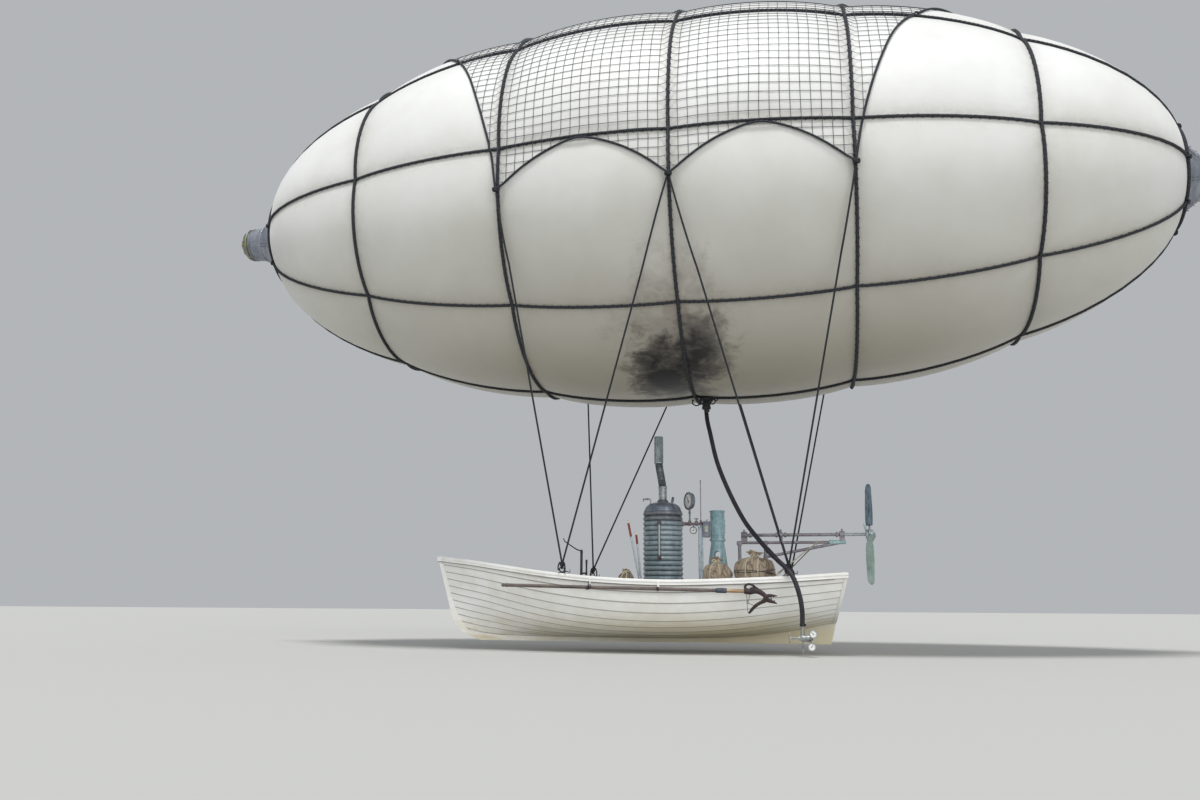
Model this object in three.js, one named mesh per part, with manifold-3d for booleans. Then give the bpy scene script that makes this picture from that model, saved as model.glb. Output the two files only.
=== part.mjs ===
// A hot air balloon of the airship kind: a quilted fabric envelope, and under it a clinker rowing
// boat that carries a steam boiler, an engine and a propeller.
// Millimetres. +X runs aft, +Z up and -Y to port. The origin is the centre of the envelope.
import * as THREE from 'three';
import { mergeVertices } from 'three/addons/utils/BufferGeometryUtils.js';
import Module from 'manifold-3d';

const wasm = await Module();
wasm.setup();

// Driving dimensions
const gap = 0.3; // left between pieces that touch
const envelope = {
  semiLength: 4860, // of the ellipse that the seams lie on
  radius: 2000,
  ringX: 4710, // the round openings at both ends
  ribX: [-3210, -1600, 0, 1600, 3210],
  gores: 8,
  wall: 10,
  lobe: 52, // how far a panel's middle stands over its seams
  ribLobe: 39, // the same at a rib
  seamBulge: 46, // how far a seam bows out between two ribs
  panelSteps: 4,
  goreSteps: 4,
};
const seamRope = { radius: 15, ribRadius: 18, seat: 0.6, endInset: 22, knotRadius: 38, knotLift: 54 };
const stay = { radius: 11, anchorAngle: THREE.MathUtils.degToRad(-12), steps: 18, lift: 44 };
const boat = {
  bowX: -2748, // tip of the stem
  transomX: 1416, // top of the transom
  keelBottom: -4508,
  plank: 18,
  strakes: 10,
  lap: 8,
  stemRake: 0.29, // how far the stem leans aft for each millimetre down
  keelThick: 44,
  rabbet: 45, // from the face of the stem back to the planks' ends
  transomRake: 0.256,
  transomThick: 32,
  floorTop: -4345,
  seatTop: -4075,
};
// Columns: share of the length from the bow, half beam, sheer height, lowest plank height, fullness
const hullRows = [
  [0.0, 20, -3668, -4395, 1.05],
  [0.04, 165, -3690, -4425, 1.15],
  [0.1, 320, -3720, -4446, 1.3],
  [0.2, 520, -3781, -4456, 1.6],
  [0.32, 670, -3851, -4458, 1.95],
  [0.45, 752, -3904, -4458, 2.25],
  [0.6, 772, -3930, -4456, 2.3],
  [0.75, 738, -3917, -4437, 2.1],
  [0.88, 675, -3893, -4385, 1.85],
  [1.0, 602, -3859, -4300, 1.7],
];
const rim = { out: 34, in: 30, drop: 38, rise: 16, clear: 7 };
const boiler = { x: -350, radius: 197, groove: 10, top: -3114, shoulder: -3210, pitch: 50, rings: 15, neck: 62 };
const engine = { x: 204, bedTop: -3905 };
const propeller = { x: 1687, z: -3455, radius: 492, blades: 4, turn: THREE.MathUtils.degToRad(12) };
const shaft = { radius: 16, from: 445, clear: 1 };
const boom = { z: -3530, radius: 14, from: 400, to: 1220, end: 1461 };

// Materials
const paints = {
  fabric: [0xe4e0d3, 0.85, 0],
  rope: [0x2b2d30, 0.9, 0],
  zinc: [0x8d9496, 0.45, 0.8],
  brass: [0x8a7c46, 0.5, 0.8],
  hull: [0xece9df, 0.45, 0],
  timber: [0x8b6a47, 0.7, 0],
  darkWood: [0x4b3a2e, 0.75, 0],
  iron: [0x3a332e, 0.7, 0.6],
  patina: [0x5f6f68, 0.6, 0.5],
  verdigris: [0x6f9d96, 0.65, 0.3],
  steel: [0xa8adb0, 0.35, 0.9],
  rust: [0x6b4a38, 0.85, 0.4],
  burlap: [0xa58a62, 0.95, 0],
  rubber: [0x24262a, 0.6, 0],
};
const group = new THREE.Group();

function add(name, geometry, paint) {
  const [color, roughness, metalness] = paints[paint];
  const mesh = new THREE.Mesh(geometry, new THREE.MeshStandardMaterial({ color, roughness, metalness }));
  mesh.name = name;
  group.add(mesh);
}

// Solids and meshes
function closedGeometry(points, faces) {
  let volume = 0;
  faces.forEach(([a, b, c]) => {
    volume += points[a].dot(points[b].clone().cross(points[c]));
  });
  const wound = volume < 0 ? faces.map(([a, b, c]) => [a, c, b]) : faces;
  const geometry = new THREE.BufferGeometry().setFromPoints(points);
  geometry.setIndex(wound.flat());
  geometry.computeVertexNormals();
  return geometry;
}

function capFaces(ring, first, flip) {
  const middle = ring.reduce((sum, p) => sum.add(p), new THREE.Vector3()).divideScalar(ring.length);
  const normal = new THREE.Vector3();
  ring.forEach((p, i) => {
    const next = ring[(i + 1) % ring.length];
    normal.add(p.clone().sub(middle).cross(next.clone().sub(middle)));
  });
  const size = normal.toArray().map(Math.abs);
  const drop = size.indexOf(Math.max(...size));
  const flat = ring.map((p) => {
    const c = p.toArray();
    return new THREE.Vector2(c[(drop + 1) % 3], c[(drop + 2) % 3]);
  });
  const turn = Math.sign(THREE.ShapeUtils.area(flat));
  return THREE.ShapeUtils.triangulateShape(flat, []).map((face) => {
    const same = Math.sign(THREE.ShapeUtils.area(face.map((i) => flat[i]))) === turn;
    const [a, b, c] = face.map((i) => i + first);
    return same !== flip ? [a, b, c] : [a, c, b];
  });
}

// Skins a row of closed sections that all have the same number of points
function loft(rings, wrap = false) {
  const count = rings[0].length;
  const faces = [];
  const spans = wrap ? rings.length : rings.length - 1;
  for (let i = 0; i < spans; i += 1) {
    const here = i * count;
    const there = ((i + 1) % rings.length) * count;
    for (let j = 0; j < count; j += 1) {
      const k = (j + 1) % count;
      faces.push([here + j, there + j, there + k], [here + j, there + k, here + k]);
    }
  }
  if (!wrap) {
    faces.push(...capFaces(rings[0], 0, false));
    faces.push(...capFaces(rings.at(-1), count * (rings.length - 1), true));
  }
  return closedGeometry(rings.flat(), faces);
}

function solidOf(geometry) {
  const bare = geometry.clone();
  bare.deleteAttribute('normal');
  bare.deleteAttribute('uv');
  const merged = mergeVertices(bare, 1e-3);
  const faces = [];
  for (let i = 0; i < merged.index.count; i += 3) {
    const [a, b, c] = [0, 1, 2].map((k) => merged.index.getX(i + k));
    if (a !== b && b !== c && a !== c) {
      faces.push(a, b, c);
    }
  }
  const vertProperties = new Float32Array(merged.attributes.position.array);
  const mesh = new wasm.Mesh({ numProp: 3, vertProperties, triVerts: new Uint32Array(faces) });
  return new wasm.Manifold(mesh);
}

function geometryOf(solid) {
  const mesh = solid.getMesh();
  const geometry = new THREE.BufferGeometry();
  geometry.setAttribute('position', new THREE.BufferAttribute(mesh.vertProperties, 3));
  geometry.setIndex(new THREE.BufferAttribute(mesh.triVerts, 1));
  geometry.computeVertexNormals();
  return geometry;
}

function join(...geometries) {
  const solids = geometries.map(solidOf);
  return geometryOf(solids.reduce((whole, piece) => whole.add(piece)));
}

function cut(geometry, ...tools) {
  return geometryOf(tools.map(solidOf).reduce((whole, tool) => whole.subtract(tool), solidOf(geometry)));
}

function overlap(a, b) {
  return geometryOf(solidOf(a).intersect(solidOf(b)));
}

// Plain shapes
const at = (x, y, z) => new THREE.Vector3(x, y, z);

function box(low, high) {
  const size = high.clone().sub(low);
  const middle = low.clone().add(high).multiplyScalar(0.5);
  return new THREE.BoxGeometry(size.x, size.y, size.z).translate(middle.x, middle.y, middle.z);
}

function rod(from, to, radius, sides = 12, endRadius = radius) {
  const along = to.clone().sub(from);
  const geometry = new THREE.CylinderGeometry(endRadius, radius, along.length(), sides);
  const turn = new THREE.Quaternion().setFromUnitVectors(at(0, 1, 0), along.clone().normalize());
  const middle = from.clone().add(to).multiplyScalar(0.5);
  return geometry.applyQuaternion(turn).translate(middle.x, middle.y, middle.z);
}

function ball(centre, radius, pole = at(0, 1, 0)) {
  const turn = new THREE.Quaternion().setFromUnitVectors(at(0, 1, 0), pole);
  return new THREE.SphereGeometry(radius, 10, 5).applyQuaternion(turn).translate(centre.x, centre.y, centre.z);
}

// A profile of [radius, height] turned about an upright line
function turned(profile, x, y, z, sides = 24) {
  const points = profile.map(([r, h]) => new THREE.Vector2(r, h));
  return new THREE.LatheGeometry(points, sides).rotateX(Math.PI / 2).translate(x, y, z);
}

function circle(radius, sides) {
  const shape = new THREE.Shape();
  for (let i = 0; i < sides; i += 1) {
    const angle = (2 * Math.PI * i) / sides;
    const [u, v] = [radius * Math.cos(angle), radius * Math.sin(angle)];
    if (i === 0) {
      shape.moveTo(u, v);
    } else {
      shape.lineTo(u, v);
    }
  }
  shape.closePath();
  return shape;
}

function tube(points, radius, sides = 8, steps = 12) {
  const extrudePath = new THREE.CatmullRomCurve3(points);
  return new THREE.ExtrudeGeometry(circle(radius, sides), { steps, extrudePath, bevelEnabled: false });
}

// An outline of [x, z] points, as thick as width and centred on y
function plate(outline, y, width) {
  const shape = new THREE.Shape(outline.map(([x, z]) => new THREE.Vector2(x, z)));
  const geometry = new THREE.ExtrudeGeometry(shape, { depth: width, bevelEnabled: false });
  return geometry.rotateX(Math.PI / 2).translate(0, y + width / 2, 0);
}

// Envelope: a point of its skin by the angle along the ellipse and the angle about the axis
const angleAlong = (x) => Math.asin(x / envelope.semiLength);
const ends = [-envelope.ringX, ...envelope.ribX, envelope.ringX].map(angleAlong);
const pillow = (t) => Math.max(4 * t * (1 - t), 0) ** 0.75;

function skin(along, around, lift = 0) {
  const last = ends.length - 2;
  const panel = Math.min(Math.max(ends.findLastIndex((end) => along >= end), 0), last);
  const u = (along - ends[panel]) / (ends[panel + 1] - ends[panel]);
  const gore = (around * envelope.gores) / (2 * Math.PI);
  const v = gore - Math.floor(gore);
  let toEnd = 0;
  if (panel === 0) {
    toEnd = 1 - u;
  } else if (panel === last) {
    toEnd = u;
  }
  const crest = envelope.ribLobe * (1 - toEnd) + (envelope.lobe - envelope.ribLobe) * pillow(u);
  const out = crest * pillow(v) + envelope.seamBulge * pillow(u) + lift;
  const { semiLength, radius } = envelope;
  const slope = Math.hypot(radius * Math.sin(along), semiLength * Math.cos(along));
  const x = semiLength * Math.sin(along) + (out * radius * Math.sin(along)) / slope;
  const r = radius * Math.cos(along) + (out * semiLength * Math.cos(along)) / slope;
  return at(x, -r * Math.cos(around), r * Math.sin(around));
}

function alongSteps(steps) {
  const list = [];
  for (let i = 0; i < ends.length - 1; i += 1) {
    for (let k = 0; k < steps; k += 1) {
      list.push(THREE.MathUtils.lerp(ends[i], ends[i + 1], k / steps));
    }
  }
  return [...list, ends.at(-1)];
}

const around = envelope.gores * envelope.goreSteps;
const turns = Array.from({ length: around }, (_, i) => (2 * Math.PI * i) / around);
const lengths = alongSteps(envelope.panelSteps);
const outside = lengths.map((along) => turns.map((turn) => skin(along, turn)));
const inside = lengths.map((along) => turns.map((turn) => skin(along, turn, -envelope.wall)));
add('envelope', loft([...outside, ...inside.reverse()], true), 'fabric');

// Ropes sewn over the seams, with a knot at each place that carries a stay
function ropeRing(points, radius, sides, closed) {
  return points.map((p, i) => {
    const before = points[closed ? (i + points.length - 1) % points.length : Math.max(i - 1, 0)];
    const after = points[closed ? (i + 1) % points.length : Math.min(i + 1, points.length - 1)];
    const ahead = after.clone().sub(before).normalize();
    const out = at(0, p.y, p.z).normalize();
    const side = ahead.clone().cross(out).normalize();
    const up = side.clone().cross(ahead);
    return Array.from({ length: sides }, (_, k) => {
      const angle = (2 * Math.PI * (k + 0.5)) / sides;
      const offset = up.clone().multiplyScalar(Math.cos(angle) * radius);
      return p.clone().add(offset).addScaledVector(side, Math.sin(angle) * radius);
    });
  });
}

const anchorX = [-1600, 0, 1600];
const sides = [-1, 1]; // port and starboard

function anchorPoint(x, side) {
  const point = skin(angleAlong(x), stay.anchorAngle, seamRope.knotLift);
  return at(point.x, -side * point.y, point.z);
}

function seamRopes() {
  const endAlong = angleAlong(envelope.ringX - seamRope.endInset);
  const inner = lengths.slice(1, -1);
  const seamAlong = [-endAlong, ...inner, endAlong];
  const seams = Array.from({ length: envelope.gores }, (_, i) => (2 * Math.PI * i) / envelope.gores);
  const lines = seams.map((turn) => {
    const points = seamAlong.map((along) => skin(along, turn, seamRope.radius + seamRope.seat));
    return loft(ropeRing(points, seamRope.radius, 3, false));
  });
  const rings = [-endAlong, ...ends.slice(1, -1), endAlong].map((along) => {
    const points = turns.map((turn) => skin(along, turn, seamRope.ribRadius + seamRope.seat));
    return loft(ropeRing(points, seamRope.ribRadius, 3, true), true);
  });
  const knots = sides.flatMap((side) => anchorX.map((x) => ball(anchorPoint(x, side), seamRope.knotRadius)));
  return join(...rings, ...lines, ...knots);
}
add('seam_ropes', seamRopes(), 'rope');

// Metal caps over both ends. Profiles: [radius, distance out from the end ring]
const fairing = [[0, gap], [493, gap], [490, 24], [440, 44], [222, 300], [214, 322], [196, 480], [0, 480]];
const dome = [
  [0, 480 + gap], [184, 480 + gap], [184, 500], [198, 502], [192, 530], [160, 572],
  [100, 600], [46, 608], [44, 632], [0, 636],
];
[['nose', -1], ['tail', 1]].forEach(([name, end]) => {
  [['fairing', fairing, 'zinc'], ['dome', dome, 'brass']].forEach(([piece, profile, paint]) => {
    const points = profile.map(([r, out]) => new THREE.Vector2(r, out));
    const geometry = new THREE.LatheGeometry(points, 20).rotateZ((-end * Math.PI) / 2);
    add(`${name}_${piece}`, geometry.translate(end * envelope.ringX, 0, 0), paint);
  });
});

// Boat: a row of the table at any share of the length
function hullRow(share) {
  const last = hullRows.length - 2;
  const i = Math.min(Math.max(hullRows.findLastIndex((row) => share >= row[0]), 0), last);
  const f = (share - hullRows[i][0]) / (hullRows[i + 1][0] - hullRows[i][0]);
  const [, beam, sheer, foot, full] = hullRows[i].map((value, k) => value + (hullRows[i + 1][k] - value) * f);
  return { beam, sheer, foot, full };
}

function sheerAt(x) {
  const bow = boat.bowX + boat.rabbet;
  return hullRow((x - bow) / (boat.transomX - bow));
}

function stemX(depth, sweep, power) {
  const down = depth / (hullRows[0][2] - boat.keelBottom);
  return boat.bowX + boat.stemRake * depth + sweep * down ** power;
}

// The x of a point of a section, by its height: the bow's sections lean with the stem, the stern's
// with the transom
function lengthwise(share, z) {
  const { sheer, foot } = hullRow(Math.min(share, 1));
  const down = (z - sheer) / (foot - sheer);
  const first = hullRows[0];
  const last = hullRows.at(-1);
  const bow = stemX((first[2] - first[3]) * down, 250, 6) + boat.rabbet;
  const stern = boat.transomX + boat.transomRake * (last[3] - last[2]) * down;
  return bow + (stern - bow) * share;
}

// Half of a section from the sheer to the keel, at equal steps along the planking
function girth(share) {
  const { beam, sheer, foot, full } = hullRow(Math.min(share, 1));
  const half = boat.keelThick / 2 - 2;
  const fine = Array.from({ length: 61 }, (_, i) => {
    const angle = (Math.PI * i) / 120;
    const y = half + (beam - half) * Math.max(Math.cos(angle), 0) ** (2 / full);
    return new THREE.Vector2(y, sheer + (foot - sheer) * Math.sin(angle) ** (2 / full));
  });
  const curve = new THREE.Path(fine).getSpacedPoints(boat.strakes);
  return curve.map((point, i) => {
    const before = curve[Math.max(i - 1, 0)];
    const after = curve[Math.min(i + 1, curve.length - 1)];
    const out = new THREE.Vector2(before.y - after.y, after.x - before.x).normalize();
    return { point, out };
  });
}

function mirrored(half) {
  return [...half, ...half.slice().reverse().map((p) => at(p.x, -p.y, p.z))];
}

function outerSection(share) {
  const lap = boat.lap * Math.min(1, 0.15 + share * 12);
  const half = girth(share).flatMap(({ point, out }, i) => {
    const proud = point.clone().addScaledVector(out, lap);
    const pair = [proud, point].map((p) => at(lengthwise(share, p.y), -p.x, p.y));
    if (i === 0) {
      return pair.slice(1);
    }
    return i === boat.strakes ? pair.slice(0, 1) : pair;
  });
  return mirrored(half);
}

function innerSection(share, inset, shift = 0) {
  const half = girth(share).map(({ point, out }) => {
    const z = point.y - out.y * inset;
    return at(lengthwise(share, z) + shift, -Math.max(point.x - out.x * inset, 1), z);
  });
  const top = half[0].clone();
  top.z += 400;
  return mirrored([top, ...half]);
}

function innerRoom(inset) {
  const rows = hullRows.slice(1).map(([share]) => innerSection(share, inset));
  return loft([...rows, innerSection(1, inset, 80)]);
}

const outerHull = loft(hullRows.map(([share]) => outerSection(share)));
add('hull_planking', cut(outerHull, innerRoom(boat.plank)), 'hull');

function transomBoard() {
  const foot = hullRows.at(-1)[3] - boat.lap;
  const board = [gap, boat.transomThick].map((shift) => {
    const half = girth(1).map(({ point, out }) => {
      const edge = point.clone().addScaledVector(out, boat.lap + 2);
      const z = Math.max(edge.y, foot);
      return at(lengthwise(1, z) + shift, -edge.x, z);
    });
    return mirrored(half);
  });
  return loft(board);
}
add('transom', transomBoard(), 'hull');

// The stem, keel and skeg are one plank on edge, fitted to the planks' lower ends
function backbone() {
  const depth = hullRows[0][2] - boat.keelBottom;
  const face = Array.from({ length: 13 }, (_, i) => {
    const down = depth * (i / 12) ** 0.7;
    return [stemX(down, 253, 12), hullRows[0][2] - down];
  });
  const last = hullRows.at(-1);
  const foot = last[3] - boat.lap - gap;
  const heel = lengthwise(1, boat.keelBottom) + boat.transomThick;
  const skeg = [[heel, boat.keelBottom], [lengthwise(1, foot) + boat.transomThick, foot]];
  const bottoms = hullRows.slice().reverse();
  const under = bottoms.map(([share, , , low]) => [lengthwise(share, low), low - boat.lap - gap]);
  const rabbet = girth(0).reverse().slice(1).map(({ point }) => {
    return [lengthwise(0, point.y) - gap, point.y];
  });
  return plate([...face, ...skeg, ...under, ...rabbet], 0, boat.keelThick);
}
add('keel', backbone(), 'hull');

// Rims: a rubbing strake outside and a cap over the planks' top edge
function rimSection(share, side, x) {
  const { beam, sheer } = hullRow(share);
  const inner = Math.max(beam - rim.in, gap);
  const outline = [
    [beam + rim.clear, sheer - rim.drop],
    [beam + rim.out, sheer - rim.drop + 4],
    [beam + rim.out, sheer + rim.rise],
    [inner, sheer + rim.rise],
    [inner, sheer + gap],
    [beam + rim.clear, sheer + gap],
  ];
  return outline.map(([y, z]) => at(x, side * y, z));
}

[['port', -1], ['starboard', 1]].forEach(([name, side]) => {
  const rows = hullRows.map(([share, , sheer]) => rimSection(share, side, lengthwise(share, sheer)));
  rows.unshift(rimSection(0, side, boat.bowX + 1));
  rows.push(rimSection(1, side, boat.transomX + boat.transomThick));
  const stern = hullRow(1).sheer;
  const corner = box(
    at(boat.transomX - 60, side * 640 - 200, stern - 200),
    at(boat.transomX + 200, side * 640 + 200, stern + gap),
  );
  add(`gunwale_${name}`, cut(loft(rows), corner), 'hull');
});

// Inside the boat, each piece is trimmed to the planks
const room = innerRoom(boat.plank + gap + 0.1);
const fitted = (low, high) => overlap(box(low, high), room);
const seat = 28;
add('floorboards', fitted(at(-2000, -700, boat.floorTop - 22), at(1250, 700, boat.floorTop)), 'timber');
add('breasthook', fitted(at(-2500, -300, -3764), at(-2300, 300, -3738)), 'timber');
[['fore', -1720, -1480], ['mid', -790, -560]].forEach(([name, from, to]) => {
  add(`thwart_${name}`, fitted(at(from, -800, boat.seatTop - seat), at(to, 800, boat.seatTop)), 'timber');
});
const bench = { from: 60, to: 1250, inner: 200 };
[['port', -1], ['starboard', 1]].forEach(([name, side]) => {
  const edge = side * bench.inner;
  const top = box(
    at(bench.from, Math.min(edge, side * 800), boat.seatTop - seat),
    at(bench.to, Math.max(edge, side * 800), boat.seatTop),
  );
  const front = box(
    at(bench.from, Math.min(edge, edge + side * 20), boat.floorTop + gap),
    at(bench.to, Math.max(edge, edge + side * 20), boat.seatTop - 1),
  );
  add(`bench_${name}`, overlap(join(top, front), room), 'timber');
});
const aftSeat = { from: 1010, half: bench.inner - gap };
add('thwart_aft', fitted(
  at(aftSeat.from, -aftSeat.half, boat.seatTop - seat),
  at(bench.to, aftSeat.half, boat.seatTop),
), 'timber');

// Hooks on the gunwales, and a bridle from each one up to two knots
const hookX = { fore: -1233, aft: 913 };
const bridleKnots = { fore: [-1600, 0], aft: [0, 1600] };
const eye = { radius: 24, wire: 6, plate: 5, post: 9, knot: 24, footX: 32 };

function hookSpot(name, side) {
  const { beam, sheer } = sheerAt(hookX[name]);
  return at(hookX[name], side * (beam + 4), sheer + rim.rise + gap);
}

function eyeCentre(name, side) {
  return hookSpot(name, side).add(at(0, 0, eye.plate + eye.radius + 4));
}

function eyePull(name, side) {
  const centre = eyeCentre(name, side);
  const pulls = bridleKnots[name].map((x) => anchorPoint(x, side).sub(centre).normalize());
  return pulls[0].add(pulls[1]).normalize();
}

function hook(name, side) {
  const spot = hookSpot(name, side);
  const centre = eyeCentre(name, side);
  const pull = eyePull(name, side);
  const axis = at(1, 0, 0).cross(pull).normalize();
  const ring = new THREE.TorusGeometry(eye.radius, eye.wire, 5, 12)
    .applyMatrix4(new THREE.Matrix4().makeBasis(pull, axis.clone().cross(pull), axis))
    .translate(centre.x, centre.y, centre.z);
  const rise = sheerAt(spot.x + eye.footX).sheer - sheerAt(spot.x - eye.footX).sheer;
  const foot = box(at(-eye.footX, -20, 0), at(eye.footX, 20, eye.plate))
    .rotateY(-Math.atan2(rise, 2 * eye.footX))
    .translate(spot.x, spot.y, spot.z);
  const post = rod(spot.clone().add(at(0, 0, 2)), spot.clone().add(at(0, 0, eye.plate + 8)), eye.post);
  return join(foot, post, ring);
}

function bridleLeg(knotX, side, low) {
  const high = anchorPoint(knotX, side);
  const points = Array.from({ length: stay.steps + 1 }, (_, i) => {
    const point = high.clone().lerp(low, (i / stay.steps) ** 1.8);
    const turn = Math.atan2(point.z, Math.abs(point.y));
    const surface = skin(angleAlong(point.x), turn, stay.radius + stay.lift);
    const short = Math.hypot(surface.y, surface.z) / Math.hypot(point.y, point.z);
    if (short > 1 && i > 0) {
      point.y *= short;
      point.z *= short;
    }
    return point;
  });
  return cut(tube(points, stay.radius, 6, 14), ball(high, seamRope.knotRadius + gap));
}

function bridle(name, side) {
  const reach = eye.radius + eye.wire + eye.knot + gap;
  const pull = eyePull(name, side);
  const low = eyeCentre(name, side).addScaledVector(pull, reach);
  return join(ball(low, eye.knot, pull), ...bridleKnots[name].map((x) => bridleLeg(x, side, low)));
}

[['port', -1], ['starboard', 1]].forEach(([name, side]) => {
  ['fore', 'aft'].forEach((end) => {
    add(`hook_${end}_${name}`, hook(end, side), 'iron');
    add(`bridle_${end}_${name}`, bridle(end, side), 'rope');
  });
});

// Boiler: a ribbed drum with a domed top, its chimney and its fittings
function boilerDrum() {
  const profile = [[0, boat.floorTop + gap], [boiler.radius - 6, boat.floorTop + gap]];
  const rings = Math.floor((boiler.shoulder - boat.floorTop - gap) / boiler.pitch);
  for (let i = Math.min(rings, boiler.rings); i > 0; i -= 1) {
    const z = boiler.shoulder - i * boiler.pitch;
    profile.push([boiler.radius - boiler.groove, z], [boiler.radius, z + boiler.pitch / 2]);
  }
  profile.push([boiler.radius - boiler.groove, boiler.shoulder]);
  profile.push([170, -3160], [125, -3128], [boiler.neck, boiler.top], [0, boiler.top]);
  return profile;
}
const relief = at(boiler.x - 118, -60, 0);
add('boiler', join(
  turned(boilerDrum(), boiler.x, 0, 0, 16),
  rod(at(relief.x, relief.y, -3165), at(relief.x, relief.y, -3076), 8),
  rod(at(relief.x + 8, relief.y, -3084), at(relief.x - 80, relief.y, -3084), 8),
), 'patina');

const stack = { radius: 41, upperRadius: 46, foot: -2950, knee: -2705, top: -2432, lean: -39 };
const stackTop = boiler.x + stack.lean;
add('chimney', join(
  rod(at(boiler.x, 0, boiler.top + gap), at(boiler.x, 0, boiler.top + 20), 56, 16),
  tube([
    at(boiler.x, 0, boiler.top + 10), at(boiler.x, 0, stack.foot - 40), at(boiler.x - 4, 0, stack.foot),
    at(stackTop + 4, 0, stack.knee), at(stackTop, 0, stack.knee + 40),
  ], stack.radius, 12, 12),
  rod(at(stackTop, 0, stack.knee), at(stackTop, 0, stack.top), stack.upperRadius, 16),
), 'patina');

const glass = { x: -357, y: -boiler.radius - gap, high: -3335, low: -3685, out: 26, radius: 8 };
add('sight_glass', join(
  rod(at(glass.x, glass.y, glass.high), at(glass.x, glass.y - glass.out, glass.high), 10),
  rod(at(glass.x, glass.y, glass.low), at(glass.x, glass.y - glass.out, glass.low), 10),
  rod(at(glass.x, glass.y - glass.out, glass.high + 14), at(glass.x, glass.y - glass.out, glass.low - 24), 8),
  rod(at(glass.x, glass.y - glass.out, glass.low), at(glass.x + 30, glass.y - glass.out, glass.low), 7),
), 'rust');

// Steam pipe from the boiler, with its gauges, feed pipes and lubricator box
const steam = { z: -3335, radius: 14, from: boiler.x + boiler.radius + gap, to: 62 };
add('steam_pipe', join(
  rod(at(steam.from, 0, steam.z), at(steam.to, 0, steam.z), steam.radius),
  rod(at(-96, 0, steam.z), at(-60, 0, steam.z), 20),
  rod(at(38, 0, steam.z), at(38, 0, -2890), 5, 8),
  ...[20, 47].map((x) => rod(at(x, 0, boat.floorTop + gap), at(x, 0, steam.z), 11)),
), 'rust');
const bigGauge = { x: -75, z: -3103, radius: 92, depth: 46, turn: THREE.MathUtils.degToRad(55) };
const facing = at(-Math.sin(bigGauge.turn), -Math.cos(bigGauge.turn), 0);
const gaugeCentre = at(bigGauge.x, 0, bigGauge.z);
add('pressure_gauge', join(
  rod(
    gaugeCentre.clone().addScaledVector(facing, -bigGauge.depth / 2),
    gaugeCentre.clone().addScaledVector(facing, bigGauge.depth / 2),
    bigGauge.radius,
    24,
  ),
  rod(at(bigGauge.x, 0, steam.z + 20 + gap), at(bigGauge.x, 0, bigGauge.z), 9),
), 'steel');
const smallGauge = { x: -37, z: -3402, radius: 38 };
add('test_gauge', join(
  rod(at(smallGauge.x, -28, smallGauge.z), at(smallGauge.x, 6, smallGauge.z), smallGauge.radius, 20),
  rod(at(smallGauge.x, 0, smallGauge.z), at(smallGauge.x, 0, steam.z - steam.radius - gap), 6),
), 'steel');
add('lubricator', box(at(steam.to + gap, -48, -3473), at(128, 30, -3313)), 'zinc');

// Engine: a closed cylinder on a column, on a timber bed
add('engine_bed', box(at(80, -130, boat.floorTop + gap), at(340, 130, engine.bedTop)), 'timber');
const column = [
  [0, engine.bedTop + gap], [135, engine.bedTop + gap], [135, -3885], [112, -3870],
  [86, -3670], [64, -3512 - gap], [0, -3512 - gap],
];
const archTop = -3612;
const arch = join(
  box(at(engine.x - 30, -200, -3760), at(engine.x + 30, 200, archTop - 30)),
  rod(at(engine.x, -200, archTop - 30), at(engine.x, 200, archTop - 30), 30, 16),
);
add('engine_column', cut(turned(column, engine.x, 0, 0), arch), 'verdigris');
add('engine_cylinder', turned([
  [0, -3512], [78, -3512], [78, -3490], [69, -3486], [72, -3222], [76, -3218], [76, -3208], [0, -3208],
], engine.x, 0, 0), 'verdigris');

// Drive: a shaft in three bearings on a boom, which stands on two posts and has a strut
const shaftLine = (from, to, radius, count = 16) => {
  return rod(at(from, 0, propeller.z), at(to, 0, propeller.z), radius, count);
};
const boomLine = (extra) => {
  return rod(at(boom.from, 0, boom.z), at(boom.end, 0, boom.z), boom.radius + extra);
};
// Columns: first and last x of each bearing
const bearings = [[440, 500], [815, 850], [1400, 1450]];
const posts = [422, 678];

function boomFrame() {
  const blocks = bearings.flatMap(([from, to]) => [
    box(at(from, -17, boom.z), at(to, 17, propeller.z)),
    shaftLine(from, to, 34, 20),
  ]);
  const uprights = posts.flatMap((x) => [
    rod(at(x, 0, boat.floorTop + gap), at(x, 0, boom.z), 17),
    rod(at(x, 0, boat.floorTop + gap), at(x, 0, boat.floorTop + 12), 48, 20),
  ]);
  const taper = rod(at(boom.to, 0, boom.z), at(boom.end, 0, boom.z), 24, 16, 18);
  const strut = rod(at(posts[1], 0, -3671), at(1425, 0, boom.z), 15);
  const frame = join(boomLine(0), taper, strut, ...uprights, ...blocks);
  return cut(frame, shaftLine(bearings[0][0] + 4, propeller.x, shaft.radius + shaft.clear));
}
add('boom_frame', boomFrame(), 'rust');

// Guys from the gunwales out to the boom
const guyTop = at(1180, 0, boom.z);
sides.forEach((side) => {
  const name = side < 0 ? 'port' : 'starboard';
  const { beam, sheer } = sheerAt(800);
  const foot = at(800, side * (beam + 2), sheer + rim.rise + 3 * gap);
  const ear = rod(foot, foot.clone().add(at(0, 0, 26)), 13);
  const wire = rod(foot.clone().add(at(0, 0, 16)), guyTop, 6, 8);
  const screw = rod(
    foot.clone().add(at(0, 0, 16)).lerp(guyTop, 0.06),
    foot.clone().add(at(0, 0, 16)).lerp(guyTop, 0.17),
    12,
  );
  add(`guy_${name}`, cut(join(ear, wire, screw), boomLine(gap + 9)), 'steel');
});

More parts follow.
